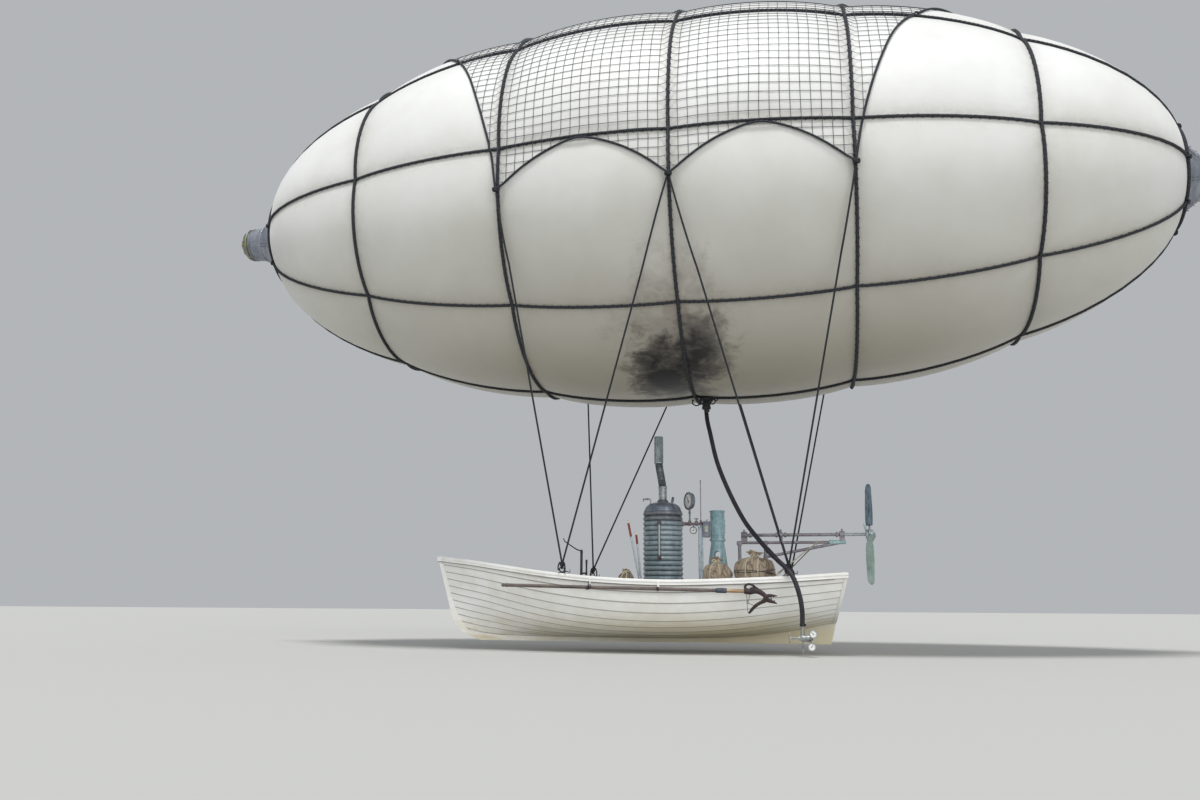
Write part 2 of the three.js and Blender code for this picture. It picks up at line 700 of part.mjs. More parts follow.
// Propeller: the shaft, a clamping hub and four twisted sheet blades
const hub = { from: 1652, to: 1722, radius: 46, plate: 84 };
add('propeller_shaft', join(
  shaftLine(shaft.from, 1745, shaft.radius),
  shaftLine(hub.from, hub.to, hub.radius, 20),
  shaftLine(1682, 1692, hub.plate, 24),
), 'steel');
// Columns: distance from the shaft, chord, pitch angle in degrees
const bladeRows = [[hub.plate + gap, 62, 58], [150, 86, 52], [260, 108, 44], [380, 114, 36], [446, 102, 32], [480, 68, 30], [494, 24, 29]];
const bladeThick = 8;

function blade() {
  return loft(bladeRows.map(([r, chord, pitch]) => {
    const lean = THREE.MathUtils.degToRad(pitch);
    const [half, thick] = [chord / 2, bladeThick / 2];
    const outline = [[-half, 0], [-half * 0.5, thick], [half * 0.5, thick], [half, 0], [half * 0.5, -thick], [-half * 0.5, -thick]];
    return outline.map(([u, v]) => {
      return at(u * Math.sin(lean) + v * Math.cos(lean), u * Math.cos(lean) - v * Math.sin(lean), r);
    });
  }));
}
for (let i = 0; i < propeller.blades; i += 1) {
  const turn = propeller.turn + (2 * Math.PI * i) / propeller.blades;
  add(`blade_${i + 1}`, blade().rotateX(turn).translate(propeller.x, 0, propeller.z), 'verdigris');
}

// Sacks. Profile: [share of the half width, share of the height]
const sackProfile = [
  [0, 0], [0.86, 0], [1, 0.15], [1, 0.7], [0.93, 0.82], [0.7, 0.9], [0.14, 0.93], [0.18, 1], [0, 1],
];
const sacks = [
  ['sack_fore', 234, -430, 149, 140, boat.seatTop, 400],
  ['sack_aft', 583, -420, 188, 165, boat.seatTop, 458],
  ['sack_small', -656, -430, 88, 100, boat.seatTop, 294],
];
sacks.forEach(([name, x, y, halfX, halfY, foot, height]) => {
  const points = sackProfile.map(([r, h]) => new THREE.Vector2(r, h));
  const geometry = new THREE.LatheGeometry(points, 16).rotateX(Math.PI / 2);
  add(name, geometry.scale(halfX, halfY, height).translate(x, y, foot + gap), 'burlap');
});

// Loose poles beside the boiler and the little davit
const pole = { radius: 12 };
// Columns: name, y, x of the foot, x and height of the top
[['fore', -385, -441, -648, -3321], ['aft', -350, -472, -571, -3439]].forEach(([name, y, footX, topX, top]) => {
  const lean = Math.atan2(footX - topX, top - boat.floorTop);
  const foot = boat.floorTop + gap + pole.radius * Math.sin(lean);
  add(`pole_${name}`, rod(at(footX, y, foot), at(topX, y, top), pole.radius, 10), 'steel');
});
add('davit', join(
  rod(at(-1132, -300, boat.floorTop + gap), at(-1132, -300, -3606), 13),
  tube([
    at(-1130, -300, -3620), at(-1181, -300, -3604), at(-1234, -300, -3571), at(-1306, -300, -3523), at(-1320, -300, -3490),
  ], 7, 8, 12),
  rod(at(-1132, -300, boat.floorTop + gap), at(-1132, -300, boat.floorTop + 12), 40, 20),
  rod(at(-1080, -300, -3860), at(-1080, -300, -3705), 12),
  rod(at(-1140, -300, -3840), at(-1074, -300, -3840), 9),
), 'iron');

// Boat hook on the port side, on two iron brackets. Both ends are [x, z]
const spar = { y: -838, radius: 15, fore: [-1791, -3968], aft: [528, -4020], grip: 18 };
const sparAt = (x) => at(x, spar.y, THREE.MathUtils.mapLinear(x, spar.fore[0], spar.aft[0], spar.fore[1], spar.aft[1]));
const poleLine = (extra) => {
  const grip = rod(sparAt(360), sparAt(spar.aft[0] + extra), spar.grip + extra);
  return join(rod(sparAt(spar.fore[0]), sparAt(370), spar.radius + extra), grip);
};
add('boathook_pole', join(poleLine(0), rod(sparAt(242), sparAt(352), 24)), 'darkWood');
[['fore', -941], ['aft', -284]].forEach(([name, x]) => {
  const { sheer } = sheerAt(x);
  const beam = Math.max(sheerAt(x - 10).beam, sheerAt(x + 10).beam);
  const z = sparAt(x + 10).z - spar.radius - 2 * gap;
  const arm = box(at(x - 10, spar.y - 22, z - 10), at(x + 10, -beam - rim.out - gap, z));
  const back = box(at(x - 10, -beam - rim.out - 8, z - 10), at(x + 10, -beam - rim.out - gap, sheer - 6));
  const lip = box(at(x - 10, spar.y - 28, z - 10), at(x + 10, spar.y - 20, z + 14));
  add(`pole_bracket_${name}`, join(arm, back, lip), 'iron');
});
const grappleThick = 18;
const grapple = [
  [506, -3994], [517, -3973], [544, -3962], [571, -3952], [583, -3970], [608, -3979], [665, -4015], [712, -4044],
  [755, -4042], [806, -4060], [782, -4073], [746, -4086], [767, -4103], [802, -4124], [782, -4138], [726, -4126],
  [686, -4124], [632, -4148], [582, -4190], [556, -4226], [535, -4228], [531, -4205], [564, -4163], [618, -4125],
  [676, -4101], [679, -4074], [635, -4042], [580, -4050], [547, -4046], [510, -4040],
];
const socket = rod(at(508, spar.y, sparAt(508).z), at(556, spar.y, sparAt(556).z), 27);
add('grapple', cut(join(plate(grapple, spar.y, grappleThick), socket), poleLine(gap)), 'iron');

// Gas hose from the belly of the envelope over the gunwale, and its regulator
const hoseRadius = 22;
const hoseRoute = [
  [112, 0, -2156.8], [112, -1, -2200], [124, -38, -2290], [152, -92, -2410], [230, -200, -2740], [350, -300, -3050],
  [490, -400, -3330], [610, -505, -3500], [725, -600, -3640], [812, -680, -3735], [880, -738, -3800],
  [930, -790, -3860], [975, -818, -3960], [1008, -812, -4090], [1020, -792, -4200], [1018, -771, -4290], [1018, -770, -4330],
];
const route = hoseRoute.map(([x, y, z]) => at(x, y, z));

// Its flange lies along the bottom seam rope, just aft of the middle rib
const belly = { x: 112, foot: -2156, neck: 46, flange: 70, thick: 30 };
const underRope = seamRope.radius * 1.5 + 2 * seamRope.seat;
const [ropeFrom, ropeTo] = [0, 1].map((k) => skin(lengths[3 * envelope.panelSteps + k], -Math.PI / 2, underRope));
const ropeRun = ropeTo.clone().sub(ropeFrom);
const flangeTop = ropeFrom.clone().addScaledVector(ropeRun, belly.x / ropeRun.x);
const flangeFoot = flangeTop.clone().addScaledVector(at(ropeRun.z, 0, -ropeRun.x).normalize(), belly.thick);
add('belly_fitting', join(
  rod(flangeFoot, flangeTop, belly.flange, 16),
  rod(at(belly.x, 0, belly.foot), at(belly.x, 0, flangeFoot.z + belly.thick / 2), belly.neck, 16),
), 'iron');
add('gas_hose', tube(route, hoseRadius, 8, 32), 'rubber');
const tap = at(1018, -770, -4330);
add('regulator', join(
  rod(tap.clone().add(at(0, 0, -2 * gap)), tap.clone().add(at(0, 0, -110)), 14),
  rod(tap.clone().add(at(-40, 0, -104)), tap.clone().add(at(92, 0, -104)), 27, 16),
  rod(tap.clone().add(at(-118, 0, -104)), tap.clone().add(at(-20, 0, -104)), 8),
  rod(tap.clone().add(at(-118, 0, -68)), tap.clone().add(at(-118, 0, -140)), 8),
  rod(tap.clone().add(at(0, 0, -110)), tap.clone().add(at(0, 0, -236)), 11),
  rod(tap.clone().add(at(84, 0, -104)), tap.clone().add(at(84, -44, -70)), 9),
  rod(tap.clone().add(at(70, 0, -104)), tap.clone().add(at(70, -44, -170)), 9),
  ...[[92, -64], [76, -176]].map(([x, z]) => {
    return rod(tap.clone().add(at(x, -40, z)), tap.clone().add(at(x, -70, z)), 38, 20);
  }),
), 'steel');

export default group;
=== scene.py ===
from math import asin, atan2, ceil, copysign, cos, degrees, exp, hypot, pi, radians, sin, sqrt, tau

import bmesh
import bpy
from mathutils import Matrix, Vector, noise


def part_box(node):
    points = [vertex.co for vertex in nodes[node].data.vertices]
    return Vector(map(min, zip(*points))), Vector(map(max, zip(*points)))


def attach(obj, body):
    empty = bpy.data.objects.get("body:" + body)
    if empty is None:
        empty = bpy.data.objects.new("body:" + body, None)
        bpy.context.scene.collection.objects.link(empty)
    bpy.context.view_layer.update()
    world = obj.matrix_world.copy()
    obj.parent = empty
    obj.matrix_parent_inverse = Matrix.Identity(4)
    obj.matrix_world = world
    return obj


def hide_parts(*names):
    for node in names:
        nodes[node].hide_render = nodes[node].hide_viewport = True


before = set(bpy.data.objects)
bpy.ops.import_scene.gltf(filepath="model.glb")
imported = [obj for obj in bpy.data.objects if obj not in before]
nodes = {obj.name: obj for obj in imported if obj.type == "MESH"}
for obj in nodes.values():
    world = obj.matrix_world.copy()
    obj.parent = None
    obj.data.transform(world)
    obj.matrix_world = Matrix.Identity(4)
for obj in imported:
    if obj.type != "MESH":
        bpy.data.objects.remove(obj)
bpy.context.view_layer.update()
xAxis, yAxis, zAxis = Vector((1, 0, 0)), Vector((0, 1, 0)), Vector((0, 0, 1))


# Camera, floor and light

viewpoint = {
    "place": (1.07307, -10.1787, -4.18053),
    "right": (0.97985, 0.19963, 0.00632),
    "up": (0.03464, -0.20101, 0.97898),
    "lens": 30,
}
studio = {
    "floor": -4.6,
    "floorColour": (0.48, 0.48, 0.46),
    "sky": (0.9, 0.93, 0.97),
    "skyPower": 0.5,
    "sunPower": 2.5,
    "sunSoftness": 12,  # degrees
    "sunFrom": (-0.04, -0.38, 1),
    "fillPower": 1.15,
    "fillFrom": (0.5, -1, 0.28),
}


def setUpStudio():
    right, up = Vector(viewpoint["right"]).normalized(), Vector(viewpoint["up"]).normalized()
    turn = Matrix((right, up, right.cross(up))).transposed().to_4x4()
    data = bpy.data.cameras.new("viewpoint")
    data.lens, data.sensor_width = viewpoint["lens"], 36
    data.clip_start, data.clip_end = 0.1, 500
    camera = bpy.data.objects.new("viewpoint", data)
    camera.matrix_world = Matrix.Translation(viewpoint["place"]) @ turn
    bpy.context.scene.collection.objects.link(camera)
    bpy.context.scene.camera = camera

    half, z = 200, studio["floor"]
    floor = bpy.data.meshes.new("floor")
    floor.from_pydata([(-half, -half, z), (half, -half, z), (half, half, z), (-half, half, z)], [],
        [(0, 1, 2, 3)])
    ground = bpy.data.objects.new("floor", floor)
    bpy.context.scene.collection.objects.link(ground)
    matte = bpy.data.materials.new("floorMatte")
    matte.use_nodes = True
    shader = matte.node_tree.nodes["Principled BSDF"]
    shader.inputs["Base Color"].default_value = (*studio["floorColour"], 1)
    shader.inputs["Roughness"].default_value = 0.9
    floor.materials.append(matte)

    world = bpy.data.worlds.new("studio")
    bpy.context.scene.world = world
    bpy.context.scene.view_settings.view_transform = "Standard"
    world.use_nodes = True
    backdrop = world.node_tree.nodes["Background"]
    backdrop.inputs["Color"].default_value = (*studio["sky"], 1)
    backdrop.inputs["Strength"].default_value = studio["skyPower"]
    for name in ("sun", "fill"):
        lamp = bpy.data.lights.new(name, "SUN")
        lamp.energy = studio[name + "Power"]
        lamp.angle = radians(studio["sunSoftness"] if name == "sun" else 60)
        light = bpy.data.objects.new(name, lamp)
        light.rotation_euler = Vector(studio[name + "From"]).to_track_quat("Z", "Y").to_euler()
        bpy.context.scene.collection.objects.link(light)


setUpStudio()
print("stage: camera, floor and light")


# Shapes are (points, faces, uvs of the faces' corners). They gather in the batch that is being made, which
# makePiece turns into a piece, or in a batch of their own.

def newBatch():
    return {"points": [], "faces": [], "uvs": [], "marks": []}


making = {"batch": newBatch()}


def put(shape, mark=0, where=None, into=None):
    # adds a shape, moved to a place or by a matrix; its mark picks the finish
    batch = making["batch"] if into is None else into
    points, faces, uvs = shape
    if where is not None:
        move = where if isinstance(where, Matrix) else Matrix.Translation(where)
        points = [move @ Vector(p) for p in points]
    start = len(batch["points"])
    batch["points"] += [Vector(p) for p in points]
    batch["faces"] += [[start + i for i in face] for face in faces]
    batch["uvs"] += uvs or [[(0, 0)] * len(face) for face in faces]
    batch["marks"] += [mark] * len(faces)


def makePiece(name, finishes, stands=None, sharp=38, body="craft", batch=None):
    if batch is None:
        batch, making["batch"] = making["batch"], newBatch()
    mesh = bpy.data.meshes.new(name)
    mesh.from_pydata(batch["points"], [], batch["faces"])
    layer = mesh.uv_layers.new(name="UVMap")
    layer.data.foreach_set("uv", [v for corners in batch["uvs"] for uv in corners for v in uv])
    mesh.polygons.foreach_set("material_index", batch["marks"])
    for finish in finishes:
        mesh.materials.append(finish)
    work = bmesh.new()
    work.from_mesh(mesh)
    bmesh.ops.recalc_face_normals(work, faces=work.faces)
    work.to_mesh(mesh)
    work.free()
    mesh.shade_smooth()
    mesh.set_sharp_from_angle(angle=radians(sharp))
    piece = bpy.data.objects.new(name, mesh)
    bpy.context.scene.collection.objects.link(piece)
    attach(piece, body)
    if stands:
        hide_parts(stands)
    return piece


def toward(place, ahead, side=None):
    # local Z points ahead, local X as near to side as it can
    ahead = Vector(ahead).normalized()
    side = Vector(side) if side is not None else (xAxis if abs(ahead.x) < 0.9 else yAxis)
    across = (side - ahead * side.dot(ahead)).normalized()
    turn = Matrix((across, ahead.cross(across), ahead)).transposed().to_4x4()
    return Matrix.Translation(place) @ turn


def point(x, y, z):
    return Vector((x, y, z))


def around(turn, radius=1, height=0):
    # a point on a level circle
    return Vector((radius * cos(turn), radius * sin(turn), height))


def mm(*rows):
    # points or profiles written in millimetres
    return [tuple(v / 1000 for v in row) for row in rows]


def mirrored(points, side=-1):
    return [Vector((p.x, p.y * side, p.z)) for p in points]


def turnsOf(count, shift=0):
    return [tau * (k + shift) / count for k in range(count)]


def tube(points, radius, sides=8, closed=False, caps=True, radii=None, ups=None, flat=1):
    points = [Vector(p) for p in points]
    count, rings, run, travelled, up = len(points), [], [], 0.0, None
    for i, p in enumerate(points):
        before = points[i - 1] if (i or closed) else p
        after = points[(i + 1) % count] if (closed or i < count - 1) else p
        ahead = (after - before).normalized()
        if ups:
            up = Vector(ups[i])
        elif up is None:
            up = zAxis if abs(ahead.z) < 0.8 else yAxis
        up = (up - ahead * up.dot(ahead)).normalized()
        across = ahead.cross(up)
        r = radii[i] if radii else radius
        rings += [p + up * (cos(a) * r) + across * (sin(a) * r * flat) for a in turnsOf(sides)]
        if i:
            travelled += (p - points[i - 1]).length
        run.append(travelled)
    run.append(travelled + (points[0] - points[-1]).length)
    faces, uvs = [], []
    for i in range(count if closed else count - 1):
        j = (i + 1) % count
        for k in range(sides):
            m = (k + 1) % sides
            faces.append([i * sides + k, i * sides + m, j * sides + m, j * sides + k])
            near, far, a, b = run[i], run[i + 1], k / sides, (k + 1) / sides
            uvs.append([(near, a), (near, b), (far, b), (far, a)])
    if caps and not closed:
        for first in (0, (count - 1) * sides):
            faces.append(list(range(first, first + sides)))
            uvs.append([(0, 0)] * sides)
    return rings, faces, uvs


def turned(profile, steps):
    # a profile of (radius, height) turned about local Z
    points, rows, faces, uvs = [], [], [], []
    for r, h in profile:
        if r < 1e-6:
            rows.append([len(points)] * steps)
            points.append(point(0, 0, h))
        else:
            rows.append(list(range(len(points), len(points) + steps)))
            points += [around(a, r, h) for a in turnsOf(steps)]
    near = 0.0
    for (r0, h0), (r1, h1), low, high in zip(profile, profile[1:], rows, rows[1:]):
        far = near + hypot(r1 - r0, h1 - h0)
        for k in range(steps):
            m = (k + 1) % steps
            corners = [(low[k], k, near), (low[m], k + 1, near), (high[m], k + 1, far), (high[k], k, far)]
            kept = [c for n, c in enumerate(corners) if c[0] != corners[n - 1][0]]
            if len(kept) > 2:
                faces.append([c[0] for c in kept])
                uvs.append([(c[1] / steps, c[2]) for c in kept])
        near = far
    return points, faces, uvs


def loft(sections, wrap=False, caps=True):
    count, rows = len(sections[0]), len(sections)
    points = [Vector(p) for section in sections for p in section]
    faces = []
    for i in range(rows if wrap else rows - 1):
        a, b = i * count, (i + 1) % rows * count
        for k in range(count):
            m = (k + 1) % count
            faces.append([a + k, a + m, b + m, b + k])
    if caps and not wrap:
        faces += [list(range(count)), list(range((rows - 1) * count, rows * count))]
    return points, faces, None


def slab(low, high):
    (a, b, c), (d, e, f) = low, high
    points = [Vector((x, y, z)) for x in (a, d) for y in (b, e) for z in (c, f)]
    return points, [[0, 1, 3, 2], [4, 6, 7, 5], [0, 4, 5, 1], [2, 3, 7, 6], [0, 2, 6, 4], [1, 5, 7, 3]], None


def plate(outline, thick):
    # an outline of (x, y) points, centred on local z 0
    return loft([[point(x, y, side * thick / 2) for x, y in outline] for side in (-1, 1)])


def rounded(shape, width, segments=2, angle=30):
    work = bmesh.new()
    made = [work.verts.new(p) for p in shape[0]]
    for face in shape[1]:
        work.faces.new([made[i] for i in face])
    bmesh.ops.recalc_face_normals(work, faces=work.faces)
    edges = [e for e in work.edges if e.calc_face_angle(0) > radians(angle)]
    bmesh.ops.bevel(work, geom=edges, offset=width, segments=segments, profile=0.6, affect="EDGES",
        clamp_overlap=True)
    work.verts.index_update()
    result = [v.co.copy() for v in work.verts], [[v.index for v in f.verts] for f in work.faces], None
    work.free()
    return result


# The next ones make a shape and put it in its place, which is a point or a matrix.

def lathe(profile, steps, where=None, mark=0, into=None):
    put(turned(profile, steps), mark, where, into)


def pipe(points, radius, sides=8, mark=0, where=None, into=None, **more):
    put(tube(points, radius, sides, **more), mark, where, into)


def block(low, high, width, segments=2, mark=0, where=None):
    put(rounded(slab(low, high), width, segments), mark, where)


def hoop(radius, wire, steps, sides, where, mark=0):
    ring = [around(a, radius) for a in turnsOf(steps)]
    pipe(ring, wire, sides, mark, where, closed=True, ups=[zAxis] * steps)


def bolt(r, high, where, mark=0):
    # a hexagon with a shallow crown, standing on local z 0
    foot = -high * 0.2
    lathe([(0, foot), (r, foot), (r, high * 0.8), (r * 0.75, high), (0, high)], 6, where, mark)


def knob(radius, steps, where, mark=0):
    rows = steps // 2
    arc = [(radius * sin(pi * k / rows), -radius * cos(pi * k / rows)) for k in range(rows + 1)]
    lathe(arc, steps, where, mark)


def collar(inner, outer, half, flat):
    # the profile of a solid band with sloped edges
    return [(0, -half), (inner, -half), (outer, -flat), (outer, flat), (inner, half), (0, half)]


def curveThrough(points, steps):
    # a smooth line through the points, evenly stepped between each two
    points = [Vector(p) for p in points]
    ends = [points[0] * 2 - points[1], *points, points[-1] * 2 - points[-2]]
    made = []
    for a, b, c, d in zip(ends, ends[1:], ends[2:], ends[3:]):
        for k in range(steps):
            t = k / steps
            bend, twist = 2 * a - 5 * b + 4 * c - d, 3 * b - a - 3 * c + d
            made.append(((2 * b) + (c - a) * t + bend * t * t + twist * t ** 3) / 2)
    return [*made, points[-1]]


def eased(t, pull=0.6):
    # crowds even steps towards both ends
    return t - pull * sin(tau * t) / tau


# Finishes. Object coordinates are the part's own metres, so every grain has its real size.
# The node helpers add to the finish that newFinish made last.

def tint(code):
    # an sRGB hex colour as the linear one that the shader takes
    parts = [int(code[i:i + 2], 16) / 255 for i in (0, 2, 4)]
    return tuple(p / 12.92 if p <= 0.04045 else ((p + 0.055) / 1.055) ** 2.4 for p in parts) + (1,)


def newFinish(name, rough, metal=0, more=None):
    finish = bpy.data.materials.new(name)
    finish.use_nodes = True
    making["tree"] = finish.node_tree
    making["shader"] = finish.node_tree.nodes["Principled BSDF"]
    for socket, value in {"Roughness": rough, "Metallic": metal, **(more or {})}.items():
        making["shader"].inputs[socket].default_value = value
    return finish


def feed(socket, value):
    if isinstance(value, bpy.types.NodeSocket):
        making["tree"].links.new(value, socket)
    else:
        socket.default_value = tint(value) if isinstance(value, str) else value


def addNode(kind, sockets=None, **settings):
    made = making["tree"].nodes.new("ShaderNode" + kind)
    for name, value in settings.items():
        setattr(made, name, value)
    for socket, value in (sockets or {}).items():
        feed(made.inputs[socket], value)
    return made


def axes(kind="Object"):
    return addNode("SeparateXYZ", {0: addNode("TexCoord").outputs[kind]}).outputs


def whereOf(stretch=(1, 1, 1)):
    coords = addNode("TexCoord").outputs["Object"]
    return addNode("Mapping", {"Vector": coords, "Scale": stretch}).outputs[0]


def speckle(scale, detail=4, rough=0.55, stretch=(1, 1, 1), twist=0):
    sockets = {"Scale": scale, "Detail": detail, "Roughness": rough, "Distortion": twist}
    return addNode("TexNoise", {"Vector": whereOf(stretch), **sockets}).outputs[0]


def threads(where, scale, along, distortion, detail, more=None):
    sockets = {"Vector": where, "Scale": scale, "Distortion": distortion, "Detail": detail, **(more or {})}
    return addNode("TexWave", sockets, bands_direction=along).outputs["Fac"]


def ramp(amount, stops):
    # the colour, or the amount as grey, at each stop
    made = addNode("ValToRGB", {"Fac": amount})
    band = made.color_ramp
    while len(band.elements) < len(stops):
        band.elements.new(0.5)
    for element, (place, colour) in zip(band.elements, stops):
        element.position = place
        element.color = tint(colour) if isinstance(colour, str) else (colour, colour, colour, 1)
    return made.outputs["Color"]


def mixed(amount, under, over, how="MIX"):
    return addNode("Mix", data_type="RGBA", blend_type=how, sockets={0: amount, 6: under, 7: over}).outputs[2]


def reckon(how, a, b=0, c=0):
    return addNode("Math", {0: a, 1: b, 2: c}, operation=how).outputs[0]


def times(a, b):
    return reckon("MULTIPLY", a, b)


def plus(a, b):
    return reckon("ADD", a, b)


def less(a, b):
    return reckon("SUBTRACT", a, b)


def span(value, fromLow, fromHigh, low=0, high=1):
    sockets = {"Value": value, "From Min": fromLow, "From Max": fromHigh, "To Min": low, "To Max": high}
    return addNode("MapRange", sockets).outputs[0]


def dent(height, depth, strength=1):
    # adds a bump of that depth in metres over the ones already there
    sockets = {"Height": height, "Distance": depth, "Strength": strength}
    normal = making["shader"].inputs["Normal"]
    if normal.links:
        sockets["Normal"] = normal.links[0].from_socket
    feed(normal, addNode("Bump", sockets).outputs[0])


def colourBy(colour):
    feed(making["shader"].inputs["Base Color"], colour)


def roughBy(amount, low, high):
    feed(making["shader"].inputs["Roughness"], span(amount, 0, 1, low, high))


def cloudyFinish(name, rough, metal, cloud, stops, gloss=None, bumps=(), over=None, more=None):
    # a cloudy tone, perhaps with a second layer (its noise, stops and colour), its gloss and its bumps
    finish = newFinish(name, rough, metal, more)
    cloudy = speckle(*cloud)
    colour = ramp(cloudy, stops)
    colourBy(mixed(ramp(speckle(*over[0]), over[1]), colour, over[2]) if over else colour)
    if gloss:
        roughBy(cloudy, *gloss)
    for grain, depth, strength in bumps:
        dent(speckle(*grain) if grain else cloudy, depth, strength)
    return finish


print("stage: tools ready")


# Gas hose: from the belly fitting down over the port gunwale to its regulator

hose = {
    "radius": 0.022,
    "route": mm((112, 0, -2156.8), (112, -1, -2200), (124, -38, -2290), (152, -92, -2410),
        (230, -200, -2740), (350, -300, -3050), (490, -400, -3330), (610, -505, -3500),
        (725, -600, -3640), (812, -680, -3735), (880, -738, -3800), (930, -790, -3860),
        (975, -818, -3960), (1008, -812, -4090), (1020, -792, -4200), (1018, -771, -4290),
        (1018, -770, -4330)),
    "tapeFrom": 0.655,  # shares of the route that the tape covers
    "tapeTo": 0.715,
    "tap": (1.018, -0.77, -4.33),
}


rubber = cloudyFinish("hoseRubber", 0.42, 0, (26, 5, 0.6), [(0.3, "15141a"), (0.7, "2b2833")],
    (0.3, 0.58), [((240, 3), 0.0006, 0.6)], ((60, 5, 0.75), [(0.55, 0), (0.75, 0.5)], "5b5664"))
alloy = cloudyFinish("paleAlloy", 0.4, 0.7, (30, 6, 0.6), [(0.3, "7d8183"), (0.7, "b5b8b8")], (0.3, 0.6),
    [((160, 4), 0.0006, 0.5)])
dial = cloudyFinish("dialFace", 0.45, 0, (30, 5, 0.65), [(0.3, "e9e8e3"), (0.7, "fbfbf9")],
    bumps=[((200, 2), 0.0002, 0.3)])
ink = cloudyFinish("dialInk", 0.5, 0, (90, 4), [(0.3, "0f0f10"), (0.7, "26262a")])
glass = cloudyFinish("gaugeGlass", 0.04, 0, (12, 4), [(0.3, "eef4f2"), (0.7, "ffffff")], more={"Alpha": 0.15})


def gauge(centre, face, radius, depth, needle, scallops=0, up=zAxis):
    # a round gauge in marks 0 case, 1 dial, 2 ink; returns where its glass goes
    across = Vector(up).cross(Vector(face))
    base = toward(centre, face, across)
    steps = scallops * 6 if scallops else 56
    shares = ((0, -0.5), (0.86, -0.5), (0.9, -0.38), (0.9, 0.1), (1, 0.18), (1, 0.42), (0.95, 0.5),
        (0.84, 0.5), (0.82, 0.4), (0.82, 0.28), (0, 0.28))
    bezel = [(radius * a, depth * b) for a, b in shares]
    points, faces, uvs = turned(bezel, steps)
    if scallops:
        waved = []
        for p in points:
            r = hypot(p.x, p.y)
            rim = max(0, min(1, (r / radius - 0.86) / 0.1)) * max(0, min(1, (p.z / depth - 0.05) / 0.1))
            swell = 1 - 0.05 * rim * (0.5 - 0.5 * cos(scallops * atan2(p.y, p.x)))
            waved.append(point(p.x * swell, p.y * swell, p.z))
        points = waved
    put((points, faces, uvs), 0, base)
    level = depth * 0.28
    lathe([(0, level), (radius * 0.8, level), (radius * 0.8, level + 0.0008), (0, level + 0.0012)], 48,
        base, 1)
    for k in range(25):
        turn = radians(225 - 270 * k / 24)
        long = radius * (0.16 if k % 4 == 0 else 0.09)
        tick = slab((radius * 0.72 - long, -radius * 0.007, 0), (radius * 0.72, radius * 0.007, 0.0006))
        put(tick, 2, base @ Matrix.Translation((0, 0, level + 0.001)) @ Matrix.Rotation(turn, 4, "Z"))
    shares = ((-0.3, -0.06), (0.1, -0.05), (0.66, -0.016), (0.66, 0.016), (0.1, 0.05), (-0.3, 0.06))
    hand = plate([(radius * a, radius * b) for a, b in shares], 0.0012)
    lathe([(radius * 0.785, level), (radius * 0.82, level), (radius * 0.82, level + 0.0022),
        (radius * 0.785, level + 0.0022), (radius * 0.785, level)], 48, base, 2)
    put(hand, 2, base @ Matrix.Translation((0, 0, level + 0.0035)) @ Matrix.Rotation(radians(needle), 4, "Z"))
    lathe([(0, 0), (radius * 0.11, 0), (radius * 0.09, 0.004), (0, 0.005)], 20,
        base @ Matrix.Translation((0, 0, level + 0.0012)), 2)
    return base @ Matrix.Translation((0, 0, depth * 0.37))


def makeRegulator():
    tap = Vector(hose["tap"])
    lathe(mm((0, -0.6), (13.5, -0.6), (14.5, -4), (14.5, -18), (12, -20), (12, -24), (15, -26), (15, -66),
        (0, -66)), 28, tap)
    bolt(0.019, 0.018, tap + point(0, 0, -0.062))
    coupling = makePiece("hose_coupling", [alloy])
    lathe(mm((0, -66.5), (15.5, -66.5), (15.5, -74), (19.5, -78), (19.5, -108), (0, -110)), 28, tap)
    barrel = mm((0, -40), (16, -40), (18.5, -37), (18.5, -26), (22, -22), (25.5, -12), (29.5, 12),
        (30.5, 20), (28.5, 24), (28.5, 28), (30.5, 32), (30.5, 70), (26, 78), (20, 80), (20, 90),
        (17, 92), (0, 92))
    lathe(barrel, 36, toward(tap + point(0, 0, -0.104), xAxis, zAxis))
    pipe([(-0.118, 0, 0), (-0.03, 0, 0)], 0.007, 16, where=tap + point(0, 0, -0.104))
    for k in range(9):
        hoop(0.0073, 0.0011, 18, 5, toward(tap + point(-0.046 - 0.006 * k, 0, -0.104), xAxis))
    pipe([tap + point(-0.118, 0, -0.068), tap + point(-0.118, 0, -0.14)], 0.0065, 14)
    for z in (-0.068, -0.14):
        knob(0.0082, 14, tap + point(-0.118, 0, z))
    lathe(mm((0, -110), (13, -110), (13, -126), (9, -130), (8.5, -150), (11, -153), (11, -182), (7, -187),
        (7, -214), (9.5, -217), (9.5, -232), (7, -236), (0, -236)), 24, tap)
    for x, z in ((0.084, -0.07), (0.07, -0.17)):
        path = [tap + point(x, 0, -0.104), tap + point(x, -0.02, -0.104 + (z + 0.104) * 0.5),
            tap + point(x, -0.044, z)]
        pipe(curveThrough(path, 5), 0.008, 12)
        bolt(0.0115, 0.01, toward(path[1], path[2] - path[0]))
    makePiece("regulator_body", [alloy], "regulator")
    lenses = newBatch()
    for x, z, needle in ((0.092, -0.064, 140), (0.076, -0.176, 60)):
        spot = gauge(tap + point(x, -0.055, z), (0, -1, 0), 0.038, 0.03, needle)
        lathe(mm((0, 0), (31, 0), (31, 1), (0, 2.2)), 40, spot, into=lenses)
    makePiece("regulator_gauges", [alloy, dial, ink])
    makePiece("regulator_lenses", [glass], batch=lenses)
    return coupling


